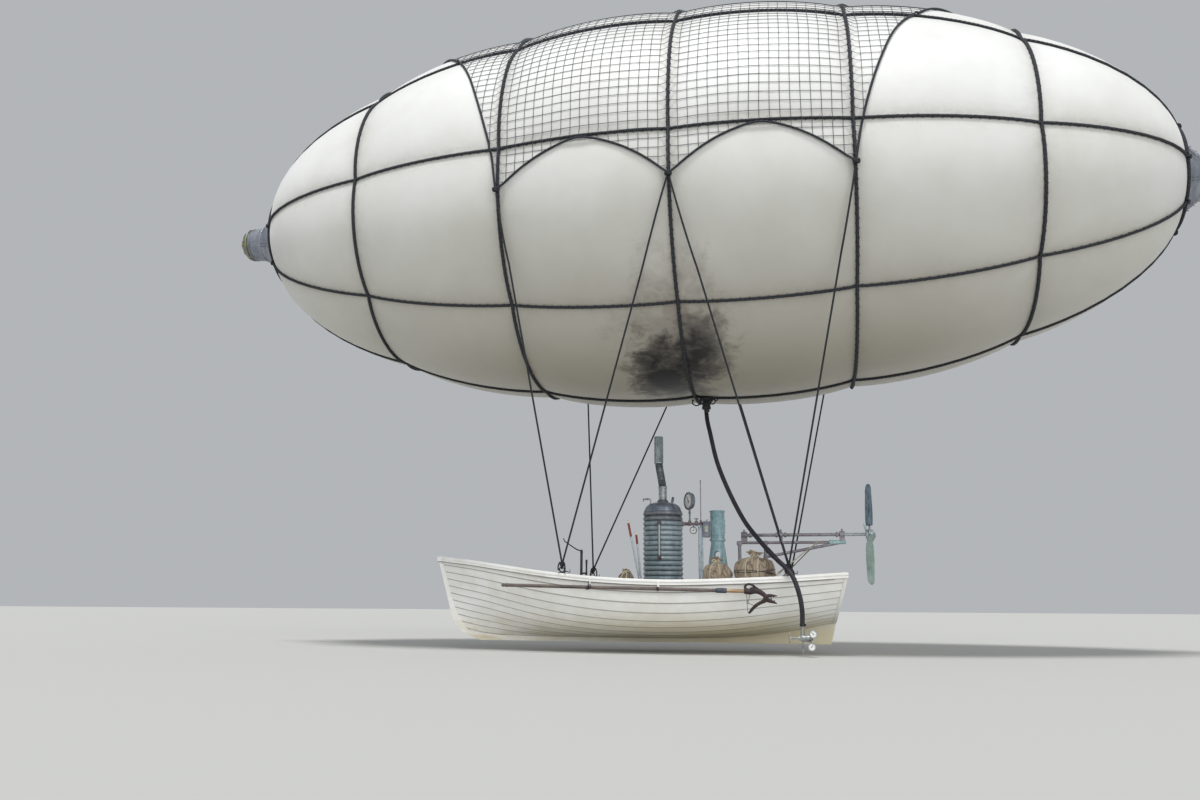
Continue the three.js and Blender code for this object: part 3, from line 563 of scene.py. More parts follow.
def makeHose():
    line = curveThrough(hose["route"], 8)
    run = [0]
    for a, b in zip(line, line[1:]):
        run.append(run[-1] + (b - a).length)
    pipe(line, hose["radius"], 20)
    piece = makePiece("gas_hose_tube", [rubber], "gas_hose", sharp=60)
    # tape over the gunwale, a clamp at each end
    taped = [p for p, r in zip(line, run) if hose["tapeFrom"] < r / run[-1] < hose["tapeTo"]]
    swell = [hose["radius"] + (0.0032 if i % 2 else 0.0022) for i in range(len(taped))]
    pipe(taped, 0, 20, radii=swell)
    for place, ahead in ((line[-4], line[-1] - line[-4]), (line[3], line[4] - line[2])):
        base = toward(place, ahead)
        lathe(mm((21.5, -12), (24.5, -12), (24.5, 12), (21.5, 12), (21.5, -12)), 40, base, 1)
        block((0.022, -0.009, -0.008), (0.034, 0.009, 0.008), 0.0015, mark=1, where=base)
        pipe([(0.029, -0.017, 0), (0.029, 0.017, 0)], 0.004, 10, 1, where=base)
    makePiece("hose_tape_and_clamps", [rubber, ink], sharp=50)
    coupling = makeRegulator()


makeHose()
print("stage: gas hose and regulator")


# Envelope: the skin's points by the angle along the ellipse and the angle about the axis

envelope = {
    "semiLength": 4.86,
    "radius": 2,
    "ringX": 4.71,
    "ribs": (-3.21, -1.6, 0, 1.6, 3.21),
    "gores": 8,
    "wall": 0.01,
    "lobe": 0.052,
    "ribLobe": 0.039,
    "seamBulge": 0.046,
    "panelSteps": 14,
    "goreSteps": 14,
    "slackness": 0.005,  # height of the slow waves in the cloth
}
cloth = {
    "colour": "e9eae9",
    "shade": "dbdbd7",
    # the belly's tint: painted shade with some staining
    "belly": "8f8871",
    "grime": "8f8778",
    "soot": "0d0c0f",
    "sootAt": (-0.2, -1.25),  # x, and the angle below the horizon in radians
    "sootSize": (0.46, 0.36),
}


def angleAlong(x):
    return asin(x / envelope["semiLength"])


panelEnds = [angleAlong(x) for x in (-envelope["ringX"], *envelope["ribs"], envelope["ringX"])]


def pillow(t):
    return max(4 * t * (1 - t), 0) ** 0.75


def skinPoint(along, turn, lift=0, wave=0):
    last = len(panelEnds) - 2
    panel = max(0, min(last, sum(along >= end - 1e-9 for end in panelEnds) - 1))
    u = (along - panelEnds[panel]) / (panelEnds[panel + 1] - panelEnds[panel])
    v = (turn * envelope["gores"] / tau) % 1
    toEnd = (1 - u) if panel == 0 else (u if panel == last else 0)
    crest = envelope["ribLobe"] * (1 - toEnd) + (envelope["lobe"] - envelope["ribLobe"]) * pillow(u)
    out = crest * pillow(v) + envelope["seamBulge"] * pillow(u) + lift
    if wave:
        slow = point(sin(along) * 7, cos(turn) * 3, sin(turn) * 3)
        out += wave * pillow(u) * pillow(v) * noise.noise(slow)
    length, radius = envelope["semiLength"], envelope["radius"]
    slope = hypot(radius * sin(along), length * cos(along))
    r = radius * cos(along) + out * length * cos(along) / slope
    x = length * sin(along) + out * radius * sin(along) / slope
    return point(x, -r * cos(turn), r * sin(turn))


def skinOut(turn):
    return point(0, -cos(turn), sin(turn))


def envelopeCloth():
    finish = newFinish("envelopeCloth", 0.42, 0, {"Specular IOR Level": 0.45, "Sheen Weight": 0.15})
    x, y, z = axes()
    turn = reckon("ARCTAN2", z, times(y, -1))
    near = addNode("Attribute", attribute_name="seam").outputs["Fac"]

    # long faint streaks down the gores, a cloudy tone, and a darker beige towards the belly that is painted
    # shade with some staining
    streaks = speckle(3, 5, 0.6, (1, 0.12, 0.12))
    clouds = speckle(0.9, 6, 0.6)
    colour = ramp(clouds, [(0.3, cloth["shade"]), (0.62, cloth["colour"])])
    colour = mixed(times(streaks, 0.16), colour, "d3cec1")
    belly = span(z, 0.3, -2, 0, 0.85)
    colour = mixed(reckon("POWER", belly, 1.3), colour, cloth["belly"])
    dirt = times(near, speckle(9, 5, 0.7))
    colour = mixed(times(dirt, 0.75), colour, cloth["grime"])

    # soot over the boiler: a wide haze, then two dark smears, broken up by noise
    def spot(size, centre):
        across = reckon("DIVIDE", less(x, centre[0]), size[0])
        down = reckon("DIVIDE", less(turn, centre[1]), size[1])
        far = reckon("POWER", plus(times(across, across), times(down, down)), 0.5)
        return less(1, far)

    puffs = times(speckle(4.4, 8, 0.62, (1, 1, 1), 0.35), 1.5)
    wisps = times(speckle(9, 7, 0.68, (0.8, 1.2, 1.2), 0.8), 0.8)
    rough = less(plus(puffs, wisps), 1.17)
    for size, centre, stops, shade in (((0.64, 0.56), (-0.07, -1.03), [(0, 0), (0.6, 0.5)], "6f6257"),
            ((0.36, 0.28), (0.15, -1.07), [(0, 0), (0.45, 0.6), (0.9, 0.95)], "201f22"),
            (cloth["sootSize"], cloth["sootAt"], [(0, 0), (0.35, 0.68), (0.72, 1)], cloth["soot"])):
        amount = plus(spot(size, centre), rough)
        colour = mixed(ramp(amount, stops), colour, shade)
    colourBy(colour)
    roughBy(speckle(5, 4), 0.34, 0.52)

    # weave of crossing threads, puckers beside the ropes, soft creases
    warp, weft = (threads(whereOf(), 38, along, 0.4, 1) for along in "XZ")
    dent(plus(warp, weft), 0.0006, 0.6)
    pucker = times(reckon("POWER", near, 1.5), speckle(22, 2, 0.5))
    dent(pucker, 0.012, 0.8)
    dent(speckle(1.6, 3, 0.5, (0.5, 1, 1)), 0.02, 0.35)
    return finish


def makeEnvelope():
    steps = envelope["goreSteps"]
    turns = [tau * (g + eased(k / steps)) / envelope["gores"] for g in range(envelope["gores"])
        for k in range(steps)]
    alongs = []
    for a, b in zip(panelEnds, panelEnds[1:]):
        alongs += [a + (b - a) * eased(k / envelope["panelSteps"]) for k in range(envelope["panelSteps"])]
    alongs.append(panelEnds[-1])
    outer = [[skinPoint(a, t, 0, envelope["slackness"]) for t in turns] for a in alongs]
    inner = [[skinPoint(a, t, -envelope["wall"], envelope["slackness"]) for t in turns]
        for a in reversed(alongs)]
    put(loft(outer + inner, wrap=True))
    piece = makePiece("envelope_skin", [envelopeCloth()], "envelope", sharp=180)
    # how near each point lies to a seam, for the puckers and the dirt there
    gore = tau / envelope["gores"]
    near = []
    for p in piece.data.vertices:
        turn = atan2(p.co.z, -p.co.y) % gore
        sideways = min(turn, gore - turn) * hypot(p.co.y, p.co.z)
        lengthwise = min(abs(p.co.x - x) for x in envelope["ribs"])
        near.append(exp(-min(sideways, lengthwise) / 0.09))
    piece.data.attributes.new("seam", "FLOAT", "POINT").data.foreach_set("value", near)
    return turns, alongs


aroundSteps, alongSteps = makeEnvelope()
print("stage: envelope")


# Ropes: the seams' and ribs' ropes with their lacing, the net and its edge, the bridles

ropes = {
    "seamRadius": 0.0135,
    "ribRadius": 0.0155,
    "seat": 0.0006,
    "endInset": 0.022,
    "lacing": 0.0035,
    "lacingStep": 0.042,
    "anchorX": (-1.6, 0, 1.6),
    "anchorAngle": radians(-12),
    "knotLift": 0.054,
}


def ropeFinish(name, dark, light, strands, pitch, depth):
    # laid strands run round the rope: u is its length in metres and v the share of a turn
    finish = newFinish(name, 0.85)
    uv = axes("UV")
    turn = plus(times(uv[0], 1 / pitch), times(uv[1], strands))
    lay = reckon("ABSOLUTE", reckon("SINE", times(turn, pi)))
    fibres = speckle(160, 3, 0.6)
    colour = ramp(times(lay, plus(fibres, 0.3)), [(0.1, dark), (0.75, light)])
    colourBy(colour)
    dent(lay, depth)
    dent(fibres, 0.001, 0.5)
    return finish


tarredRope = ropeFinish("tarredRope", "1b1d21", "35383e", 3, 0.045, 0.004)
netTwine = ropeFinish("netTwine", "2b2d31", "5a5e65", 2, 0.02, 0.002)


def seamLine(turn, lift):
    end = angleAlong(envelope["ringX"] - ropes["endInset"])
    return [skinPoint(a, turn, lift) for a in (-end, *alongSteps[1:-1], end)]


def ribLine(along, lift):
    return [skinPoint(along, t, lift) for t in aroundSteps]


def laceOver(line, ups, radius, closed, into):
    # one thin cord goes over the rope and down into the cloth on each side in turn
    step, points, side, left = ropes["lacingStep"], [], 1, 0
    count = len(line)
    for i in range(count if closed else count - 1):
        a, b = line[i], line[(i + 1) % count]
        length = (b - a).length
        while left < length:
            place, up = a.lerp(b, left / length), ups[i]
            across = (b - a).normalized().cross(up)
            points.append(place + up * (radius + 0.002))
            ahead = (b - a).normalized() * step / 2
            points.append(place + ahead + across * side * (radius + 0.006) - up * (radius * 0.7))
            side, left = -side, left + step
        left -= length
    pipe(points, ropes["lacing"], 3, into=into, caps=False)


def makeSeamRopes():
    lacing = newBatch()
    gores = envelope["gores"]
    for turn in turnsOf(gores):
        line, ups = seamLine(turn, ropes["seamRadius"] + ropes["seat"]), [skinOut(turn)] * len(alongSteps)
        pipe(line, ropes["seamRadius"], 10, ups=ups)
        laceOver(line, ups, ropes["seamRadius"], False, lacing)
    end = angleAlong(envelope["ringX"] - ropes["endInset"])
    for along in (-end, *panelEnds[1:-1], end):
        line, ups = ribLine(along, ropes["ribRadius"] + ropes["seat"]), [skinOut(t) for t in aroundSteps]
        pipe(line, ropes["ribRadius"], 10, closed=True, ups=ups)
        laceOver(line, ups, ropes["ribRadius"], True, lacing)
    # whipped knots where the bridles are made fast
    for side in (-1, 1):
        for x in ropes["anchorX"]:
            place = anchorPoint(x, side)
            out = point(0, place.y, place.z).normalized()
            knob(0.024, 16, place - out * 0.004)
            for k in range(7):
                lean = out.cross(xAxis) + out * 0.35 * sin(k * 2.1) + xAxis * 0.55 * cos(k * 1.7)
                hoop(0.026 - 0.001 * (k % 3), 0.01, 20, 8, toward(place + out * 0.003 * (k % 3 - 1), lean))
    makePiece("seam_rope_net", [tarredRope], "seam_ropes", sharp=80)
    makePiece("rope_lacing", [netTwine], sharp=80, batch=lacing)


def anchorPoint(x, side):
    p = skinPoint(angleAlong(x), ropes["anchorAngle"], ropes["knotLift"])
    return point(p.x, -side * p.y, p.z)


makeSeamRopes()


net = {
    "mesh": 1.6 / 18,  # side of a square
    "cord": 0.0027,
    "edge": 0.011,
    "lift": 0.004,
    "apex": radians(-0.8),
    "widest": 2.85,
}


def folded(turn):
    # the port side's angle for a point on either side, -12 to 90 degrees
    return min(turn, pi - turn)


def netSide(turn):
    up = degrees(folded(turn) - ropes["anchorAngle"])
    return min(1.6 + 0.0055 * up + 0.0001 * up * up, net["widest"])


def scallop(x):
    t = (abs(x) - 0.8) / 0.8
    return net["apex"] + (ropes["anchorAngle"] - net["apex"]) * abs(t) ** 1.7


def inNet(x, turn):
    return abs(x) <= netSide(turn) and (abs(x) >= 1.6 or folded(turn) >= scallop(x))


def overRopes(x, turn, lift):
    # lifts a cord that crosses a seam or rib rope clear of it
    gore = tau / envelope["gores"]
    offset = turn % gore
    sideways = min(offset, gore - offset) * envelope["radius"]
    lengthwise = min(abs(x - r) for r in envelope["ribs"])
    near = exp(-(sideways / 0.035) ** 2)
    return lift + 0.033 * near + 0.037 * exp(-(lengthwise / 0.04) ** 2) * (1 - near * 0.85)


def netPoint(x, turn, lift):
    wander = point(x * 2.1, cos(turn) * 4, sin(turn) * 4)
    x += 0.009 * noise.noise(wander)
    turn += 0.005 * noise.noise(wander + point(9, 4, 1))
    return skinPoint(angleAlong(max(-4.6, min(4.6, x))), turn, overRopes(x, turn, lift))


def netRuns(samples):
    # splits a row of (x, turn) samples into the stretches that lie in the net
    runs, run = [], []
    for x, turn in samples:
        if inNet(x, turn):
            run.append((x, turn))
        elif run:
            runs.append(run)
            run = []
    return [r for r in [*runs, run] if len(r) > 1]


def makeNet():
    pitch, fine = net["mesh"], 3
    turnPitch = radians(45) / 18
    low, high = ropes["anchorAngle"], pi - ropes["anchorAngle"]
    rows = int((high - low) / turnPitch)
    reach = int(net["widest"] / pitch)
    for k in range(-reach, reach + 1):
        samples = [(k * pitch, low + n * turnPitch / fine) for n in range(rows * fine + fine)]
        for run in netRuns(samples):
            pipe([netPoint(x, t, net["lift"]) for x, t in run], net["cord"], 3, caps=False)
    for k in range(rows + 1):
        turn = radians(2.5) * ceil(low / radians(2.5)) + k * turnPitch
        samples = [(n * pitch / fine, turn) for n in range(-reach * fine, reach * fine + 1)]
        for run in netRuns(samples):
            pipe([netPoint(x, t, net["lift"]) for x, t in run], net["cord"], 3, caps=False)
    makePiece("envelope_net", [netTwine], sharp=80)

    for end in (-1, 1):
        samples = [low + (high - low) * n / 240 for n in range(241)]
        pipe([netPoint(end * netSide(t), t, net["edge"] + 0.002) for t in samples], net["edge"], 8)
    for half in (0, 1):
        for middle in (-0.8, 0.8):
            xs = [middle - 0.8 + 1.6 * n / 48 for n in range(49)]
            arc = [(x, scallop(x) if half == 0 else pi - scallop(x)) for x in xs]
            pipe([netPoint(x, t, net["edge"] + 0.002) for x, t in arc], net["edge"], 8)
    makePiece("net_edge_rope", [tarredRope], sharp=80)


makeNet()
print("stage: seam ropes and net")


# Bridles: two taut legs from knots on the envelope down to an eye on the gunwale

bridles = {
    "radius": 0.011,
    "lift": 0.044,
    "steps": 40,
    "hooks": {"fore": -1.233, "aft": 0.913},
    "knots": {"fore": (-1.6, 0), "aft": (0, 1.6)},
    "eye": 0.024,
    "eyeWire": 0.006,
    "plate": 0.005,
    "knot": 0.024,
}
boat = {
    "bow": -2.748,
    "stern": 1.416,
    "keelBottom": -4.508,
    "plank": 0.018,
    "strakes": 10,
    "lap": 0.008,
    "stemRake": 0.29,
    "keelThick": 0.044,
    "rabbet": 0.045,
    "transomRake": 0.256,
    "transomThick": 0.032,
    "floorTop": -4.345,
    "seatTop": -4.075,
    "lines": (  # share of the length, half beam, sheer, lowest plank, fullness
        (0, 0.02, -3.668, -4.395, 1.05), (0.04, 0.165, -3.69, -4.425, 1.15),
        (0.1, 0.32, -3.72, -4.446, 1.3), (0.2, 0.52, -3.781, -4.456, 1.6),
        (0.32, 0.67, -3.851, -4.458, 1.95), (0.45, 0.752, -3.904, -4.458, 2.25),
        (0.6, 0.772, -3.93, -4.456, 2.3), (0.75, 0.738, -3.917, -4.437, 2.1),
        (0.88, 0.675, -3.893, -4.385, 1.85), (1, 0.602, -3.859, -4.3, 1.7),),
}


def fair(rows, at, columns):
    # the columns of a table at a value of its first one, on one smooth curve through the rows
    last = len(rows) - 1
    i = max(0, min(last - 1, sum(at >= row[0] for row in rows) - 1))
    a, b = rows[i], rows[i + 1]
    reach, t = b[0] - a[0], (at - a[0]) / (b[0] - a[0])

    def slope(k, n):
        before, after = rows[max(k - 1, 0)], rows[min(k + 1, last)]
        return (after[n] - before[n]) / (after[0] - before[0])

    made = []
    for n in columns:
        m0, m1 = slope(i, n) * reach, slope(i + 1, n) * reach
        made.append((2 * t ** 3 - 3 * t ** 2 + 1) * a[n] + (t ** 3 - 2 * t ** 2 + t) * m0
            + (3 * t ** 2 - 2 * t ** 3) * b[n] + (t ** 3 - t ** 2) * m1)
    return made


def hullLine(share):
    # half beam, sheer, foot and fullness
    return fair(boat["lines"], share, (1, 2, 3, 4))


def stemLine(depth, sweep, power):
    deep = boat["lines"][0][2] - boat["keelBottom"]
    return boat["bow"] + boat["stemRake"] * depth + sweep * (depth / deep) ** power


def lengthwise(share, z):
    beam, sheer, foot, full = hullLine(min(share, 1))
    down = (z - sheer) / (foot - sheer)
    first, last = boat["lines"][0], boat["lines"][-1]
    bow = stemLine((first[2] - first[3]) * down, 0.25, 6) + boat["rabbet"]
    stern = boat["stern"] + boat["transomRake"] * (last[3] - last[2]) * down
    return bow + (stern - bow) * share


def sheerAt(x):
    start = boat["bow"] + boat["rabbet"]
    beam, sheer = hullLine((x - start) / (boat["stern"] - start))[:2]
    return beam, sheer


def girth(share, steps):
    # half of a section, gunwale to keel, at even steps, as (y, z) with the outward direction
    beam, sheer, foot, full = hullLine(min(share, 1))
    half = boat["keelThick"] / 2 - 0.002
    fine = []
    for i in range(121):
        turn = pi * i / 240
        y = half + (beam - half) * max(cos(turn), 0) ** (2 / full)
        fine.append(Vector((y, sheer + (foot - sheer) * sin(turn) ** (2 / full))))
    runs = [0]
    for a, b in zip(fine, fine[1:]):
        runs.append(runs[-1] + (b - a).length)
    line, k = [], 0
    for i in range(steps + 1):
        goal = runs[-1] * i / steps
        while k < len(fine) - 2 and runs[k + 1] < goal:
            k += 1
        line.append(fine[k].lerp(fine[k + 1], (goal - runs[k]) / max(runs[k + 1] - runs[k], 1e-9)))
    made = []
    for i, p in enumerate(line):
        before, after = line[max(i - 1, 0)], line[min(i + 1, steps)]
        made.append((p, Vector((before.y - after.y, after.x - before.x)).normalized()))
    return made


def eyeCentre(name, side):
    x = bridles["hooks"][name]
    beam, sheer = sheerAt(x)
    rise = bridles["plate"] + bridles["eye"] + 0.004
    return point(x, side * (beam + 0.004), sheer + 0.0163) + zAxis * rise


def eyePull(name, side):
    centre = eyeCentre(name, side)
    return sum(((anchorPoint(x, side) - centre).normalized() for x in bridles["knots"][name]),
        Vector()).normalized()


def bridleLine(x, side, low):
    high, steps, points = anchorPoint(x, side), bridles["steps"], []
    for i in range(steps + 1):
        p = high.lerp(low, (i / steps) ** 1.8)
        surface = skinPoint(angleAlong(p.x), atan2(p.z, abs(p.y)), bridles["radius"] + bridles["lift"])
        short = hypot(surface.y, surface.z) / hypot(p.y, p.z)
        if short > 1 and i:
            p.y, p.z = p.y * short, p.z * short
        points.append(p)
    return [p for p in points if (p - high).length > 0.028]


def knotAt(place, ahead, radius, rope):
    # turns of rope wound on a core, each leaning its own way
    knob(radius * 0.8, 16, toward(place, ahead))
    side = Vector(ahead).orthogonal().normalized()
    for k in range(8):
        lean = Vector(ahead) + side * 0.5 * sin(k * 2.4) + Vector(ahead).cross(side) * 0.5 * cos(k * 1.9)
        along = Vector(ahead) * (radius * 1.3 * (k / 7 - 0.5))
        swell = sqrt(max(1 - (1.1 * (k / 7 - 0.5)) ** 2, 0.3))
        hoop(radius * swell - rope * 0.4, rope, 22, 8, toward(place + along, lean))


def makeBridle(name, side, label):
    centre, pull = eyeCentre(name, side), eyePull(name, side)
    low = centre + pull * (bridles["eye"] + bridles["eyeWire"] + bridles["knot"] + 0.0003)
    for x in bridles["knots"][name]:
        pipe(bridleLine(x, side, low), bridles["radius"] - 0.002, 9)
    knotAt(low, pull, bridles["knot"] * 0.84, 0.0062)
    # the loop that is made fast in the eye, and the rope's two short tails
    axis = xAxis.cross(pull).normalized()
    hoop(0.0165, 0.0075, 24, 8, toward(centre + pull * 0.0265, axis.cross(pull)))
    for k, lean in enumerate((-1, 1)):
        start = low + pull * 0.012
        drop = [start, start + point(lean * 0.022, side * 0.014, 0.004),
            start + point(lean * 0.034, side * 0.022, -0.035 - 0.02 * k),
            start + point(lean * 0.03, side * 0.026, -0.07 - 0.02 * k)]
        pipe(curveThrough(drop, 5), 0.007, 7)
    makePiece(f"bridle_rope_{name}_{label}", [tarredRope], f"bridle_{name}_{label}", sharp=80)


def ironFinish(name, dark, light, rust, shine, metal=0.75):
    finish = newFinish(name, shine, metal)
    patches = speckle(14, 6, 0.65)
    pits = speckle(120, 4, 0.6)
    colour = ramp(patches, [(0.3, dark), (0.7, light)])
    worn = ramp(speckle(9, 7, 0.72, twist=0.4), [(0.48, 0), (0.62, 1)])
    colourBy(mixed(times(worn, 0.8), colour, rust))
    roughBy(worn, shine, min(shine + 0.35, 1))
    dent(pits, 0.0012, 0.7)
    dent(patches, 0.002, 0.4)
    return finish


blackIron = ironFinish("blackIron", "242325", "434044", "4b3c36", 0.45, 0.4)
bellyIron = ironFinish("bellyIron", "1b1c20", "34363b", "2c2a2a", 0.5, 0.3)
rustyIron = ironFinish("rustyIron", "4c4546", "776e6e", "6f6059", 0.5, 0.3)
darkIron = ironFinish("darkIron", "241c1f", "483b40", "4a3633", 0.45, 0.35)


def makeHook(name, side, label):
    x = bridles["hooks"][name]
    thick = bridles["plate"]
    beam, sheer = sheerAt(x)
    spot = point(x, side * (beam + 0.004), sheer + 0.0163)
    rise = sheerAt(x + 0.032)[1] - sheerAt(x - 0.032)[1]
    tilt = Matrix.Translation(spot) @ Matrix.Rotation(-atan2(rise, 0.064), 4, "Y")
    block((-0.032, -0.02, 0), (0.032, 0.02, thick), 0.0018, where=tilt)
    for along in (-0.022, 0.022):
        bolt(0.005, 0.003, tilt @ Matrix.Translation((along, 0, thick)))
    lathe(mm((0, 0), (11, 0), (11, 3), (7.5, 6), (7.5, 14), (0, 14)), 20,
        tilt @ Matrix.Translation((0, 0, thick - 0.003)))
    centre, pull = eyeCentre(name, side), eyePull(name, side)
    hoop(bridles["eye"], bridles["eyeWire"], 40, 12, toward(centre, xAxis.cross(pull).normalized(), pull))
    # an open hook forged on the plate beside the eye
    tail = mm((20, 0, 4), (30, 0, 16), (52, 0, 22), (72, 0, 14), (78, 0, 30), (70, 0, 42))
    pipe(curveThrough(tail, 5), 0.005, 9, where=tilt, radii=[0.0055 - 0.003 * k / 25 for k in range(26)])
    makePiece(f"eye_{name}_{label}", [blackIron], f"hook_{name}_{label}")


for sideName, sideSign in (("port", -1), ("starboard", 1)):
    for endName in ("fore", "aft"):
        makeBridle(endName, sideSign, sideName)
        makeHook(endName, sideSign, sideName)
print("stage: bridles and hooks")


# End caps: a turned cone with its riveted flange and a banded dome at each end

caps = {
    "ring": 4.71,
    "rivets": 40,
    "cone": mm((0, 0.3), (491, 0.3), (493, 3), (493, 14), (489, 22), (470, 30), (448, 38), (440, 46),
        (376, 98), (314, 158), (258, 222), (212, 290), (204, 306), (199, 328), (194, 350), (188, 400),
        (180, 470), (178, 480), (0, 480)),
    "dome": mm((0, 480.3), (168, 480.3), (168, 497), (177, 499), (181, 503), (180, 511), (174, 526),
        (162, 546), (146, 562), (124, 580), (100, 593), (77, 602), (58, 607), (48, 609), (45, 613),
        (44, 628), (38, 634), (20, 637), (0, 637)),
    "meridians": 12,
}


def zincSheet():
    finish = newFinish("zincSheet", 0.4, 0.55)
    spangle = addNode("TexVoronoi", {"Vector": whereOf(), "Scale": 42}).outputs["Distance"]
    patches = speckle(5, 6, 0.62)
    colour = ramp(patches, [(0.28, "6c717b"), (0.55, "979ba6"), (0.75, "bcc0c8")])
    colour = mixed(times(spangle, 0.5), colour, "c0c4ca", "MULTIPLY")
    runs = ramp(speckle(9, 6, 0.7, (1.4, 1.4, 0.35)), [(0.5, 0), (0.66, 0.55)])
    colourBy(mixed(runs, colour, "69726f"))
    roughBy(patches, 0.32, 0.6)
    dent(patches, 0.006, 0.4)
    return finish


zinc = zincSheet()
brass = cloudyFinish("oldBrass", 0.45, 0.45, (11, 6, 0.68),
    [(0.32, "5f6447"), (0.52, "8f8e62"), (0.72, "b9b188")], (0.35, 0.7), [(None, 0.003, 0.5)])


def makeCap(end, label):
    ring = toward((end * caps["ring"], 0, 0), (end, 0, 0), zAxis)
    lathe(caps["cone"], 96, ring)
    # dark flange band, a raised collar and its groove
    for low, high, radius, mark in ((0.04, 0.052, 0.441, 1), (0.302, 0.318, 0.207, 0),
            (0.455, 0.468, 0.186, 0)):
        lathe([(radius - 0.006, low), (radius, low + 0.002), (radius + 0.003, (low + high) / 2),
            (radius, high - 0.002), (radius - 0.006, high), (radius - 0.006, low)], 72, ring, mark)
    for turn in turnsOf(caps["rivets"]):
        place = around(turn, 0.466, 0.031)
        lean = around(turn, 0.35, 1)
        lathe(mm((8.5, -3), (8, 2), (5, 5), (0, 6.2)), 10, ring @ toward(place, lean), 1)
    # lapped seams of the cone's sheets
    for turn in turnsOf(8, 0.5):
        spine = [around(turn, r, h) for r, h in caps["cone"][7:14]]
        pipe(spine, 0.004, 6, where=ring)
        for t in (0.15, 0.35, 0.55, 0.75, 0.92):
            place = spine[0].lerp(spine[-2], t)
            for shift in (-0.016, 0.016):
                across = point(-sin(turn), cos(turn), 0) * shift
                normal = around(turn, 0.75, 0.65)
                inward = place + across + normal * (0.001 - shift * shift * 1.5)
                lathe(mm((5, -3), (4.5, 1.5), (0, 3.5)), 8, ring @ toward(inward, normal), 1)
    makePiece(f"{label}_cone", [zinc, blackIron], f"{label}_fairing")

    lathe(caps["dome"], 96, ring)
    for turn in turnsOf(caps["meridians"]):
        spine = [around(turn, r, h) for r, h in caps["dome"][4:13]]
        pipe(spine, 0.0055, 8, 1, where=ring)
    lathe(mm((172, 498.5), (182, 500), (185, 506), (182, 512), (172, 513.5)), 96, ring, 1)
    lathe(mm((44, 606), (58, 606), (60, 611), (52, 616), (44, 617)), 48, ring, 1)
    lathe(mm((0, 630), (41, 630), (43, 634), (34, 639.5), (15, 641), (0, 641)), 40, ring, 2)
    makePiece(f"{label}_dome_cap", [brass, zinc, blackIron], f"{label}_dome")

    # ends of the seam ropes, made fast round the ring and hanging loose
    for turn in turnsOf(envelope["gores"]):
        out = skinOut(turn)
        place = skinPoint(end * angleAlong(caps["ring"] - ropes["endInset"]), turn, 0.02)
        across = out.cross(xAxis)
        for k in range(3):
            hoop(0.026, 0.009, 18, 8, toward(place, across + xAxis * 0.5 * (k - 1) + out * 0.2 * (k - 1)))
        fall = 1 if out.z > -0.5 else -1
        for s in (-1, 1):
            path = [place, place + across * 0.03 * s + out * 0.016,
                place + across * 0.055 * s + out * 0.012 - xAxis * end * 0.03,
                place + across * (0.06 + 0.01 * fall) * s + out * 0.006 - xAxis * end * 0.075]
            pipe(curveThrough(path, 5), 0.008, 7)
    makePiece(f"{label}_rope_ends", [tarredRope], sharp=80)


makeCap(-1, "nose")
makeCap(1, "tail")
print("stage: end caps")


# Hull: ten lapped strakes a side, frames, gunwales, transom and keel, all painted white

hullLook = {
    "white": "f6f6f3",
    "shadow": "e9e7e0",
    # bilge: the tint of the painted shade and painted reflection low on the hull
    "bilge": "cdbf9c",
    # lapLine: painted shade under each plank's edge, with grime
    "lapLine": "7a7067",
    "rows": 60,
    "frames": 22,
}


def paintWork(name, laps):
    finish = newFinish(name, 0.32, 0, {"Coat Weight": 0.25, "Coat Roughness": 0.25})
    tone = ramp(speckle(3.5, 5, 0.6), [(0.3, hullLook["shadow"]), (0.6, hullLook["white"])])
    place = axes()
    height = place[2]
    # beige in patches low on the hull: painted shade and painted reflection of the floor
    low = span(height, -4.18, -4.44, 0, 0.9)
    bilgeShading = ramp(speckle(6, 7, 0.7, (0.25, 1, 1.6)), [(0.42, 0), (0.68, 1)])
    tone = mixed(times(low, bilgeShading), tone, hullLook["bilge"])
    # a cream tint low on the hull, more so towards the stern: painted shade and painted reflection of the
    # floor
    cream = span(height, -4.22, -4.42, 0, 0.85)
    aft = span(place[0], -1.9, 0.2, 0.15, 1)
    tone = mixed(times(cream, aft), tone, "d3c8a2")
    drips = ramp(speckle(16, 6, 0.72, (1, 1, 0.12)), [(0.6, 0), (0.8, 0.2)])
    tone = mixed(drips, tone, "c0b8a6")
    if laps:
        # dark lines along the laps: painted shade under each plank's edge, with grime
        across = axes("UV")[1]
        line = ramp(across, [(0, 1), (0.035, 0.5), (0.08, 0), (0.89, 0), (0.95, 0.6), (0.98, 1)])
        broken = ramp(speckle(20, 5, 0.7), [(0.2, 0.7), (0.5, 1)])
        tone = mixed(times(times(line, broken), 0.95), tone, hullLook["lapLine"])
    colourBy(tone)
    roughBy(speckle(8, 4), 0.26, 0.48)
    dent(speckle(60, 3, 0.5, (0.15, 1, 1)), 0.0012, 0.4)
    dent(speckle(4, 3), 0.006, 0.35)
    return finish


hullPaint, trimPaint = paintWork("hullPaint", True), paintWork("trimPaint", False)


# the dark strip under the rim: painted shadow
seamShade = ironFinish("seamShade", "5f564e", "8a8076", "6f655b", 0.6, 0)


def lapAt(share):
    return boat["lap"] * min(1, 0.15 + 12 * share)


def hullShares():
    count = hullLook["rows"]
    return [(i / count) ** 1.35 for i in range(count + 1)]


def strip(a, b):
    count = len(a)
    return a + b, [[i, i + 1, count + i + 1, count + i] for i in range(count - 1)], None


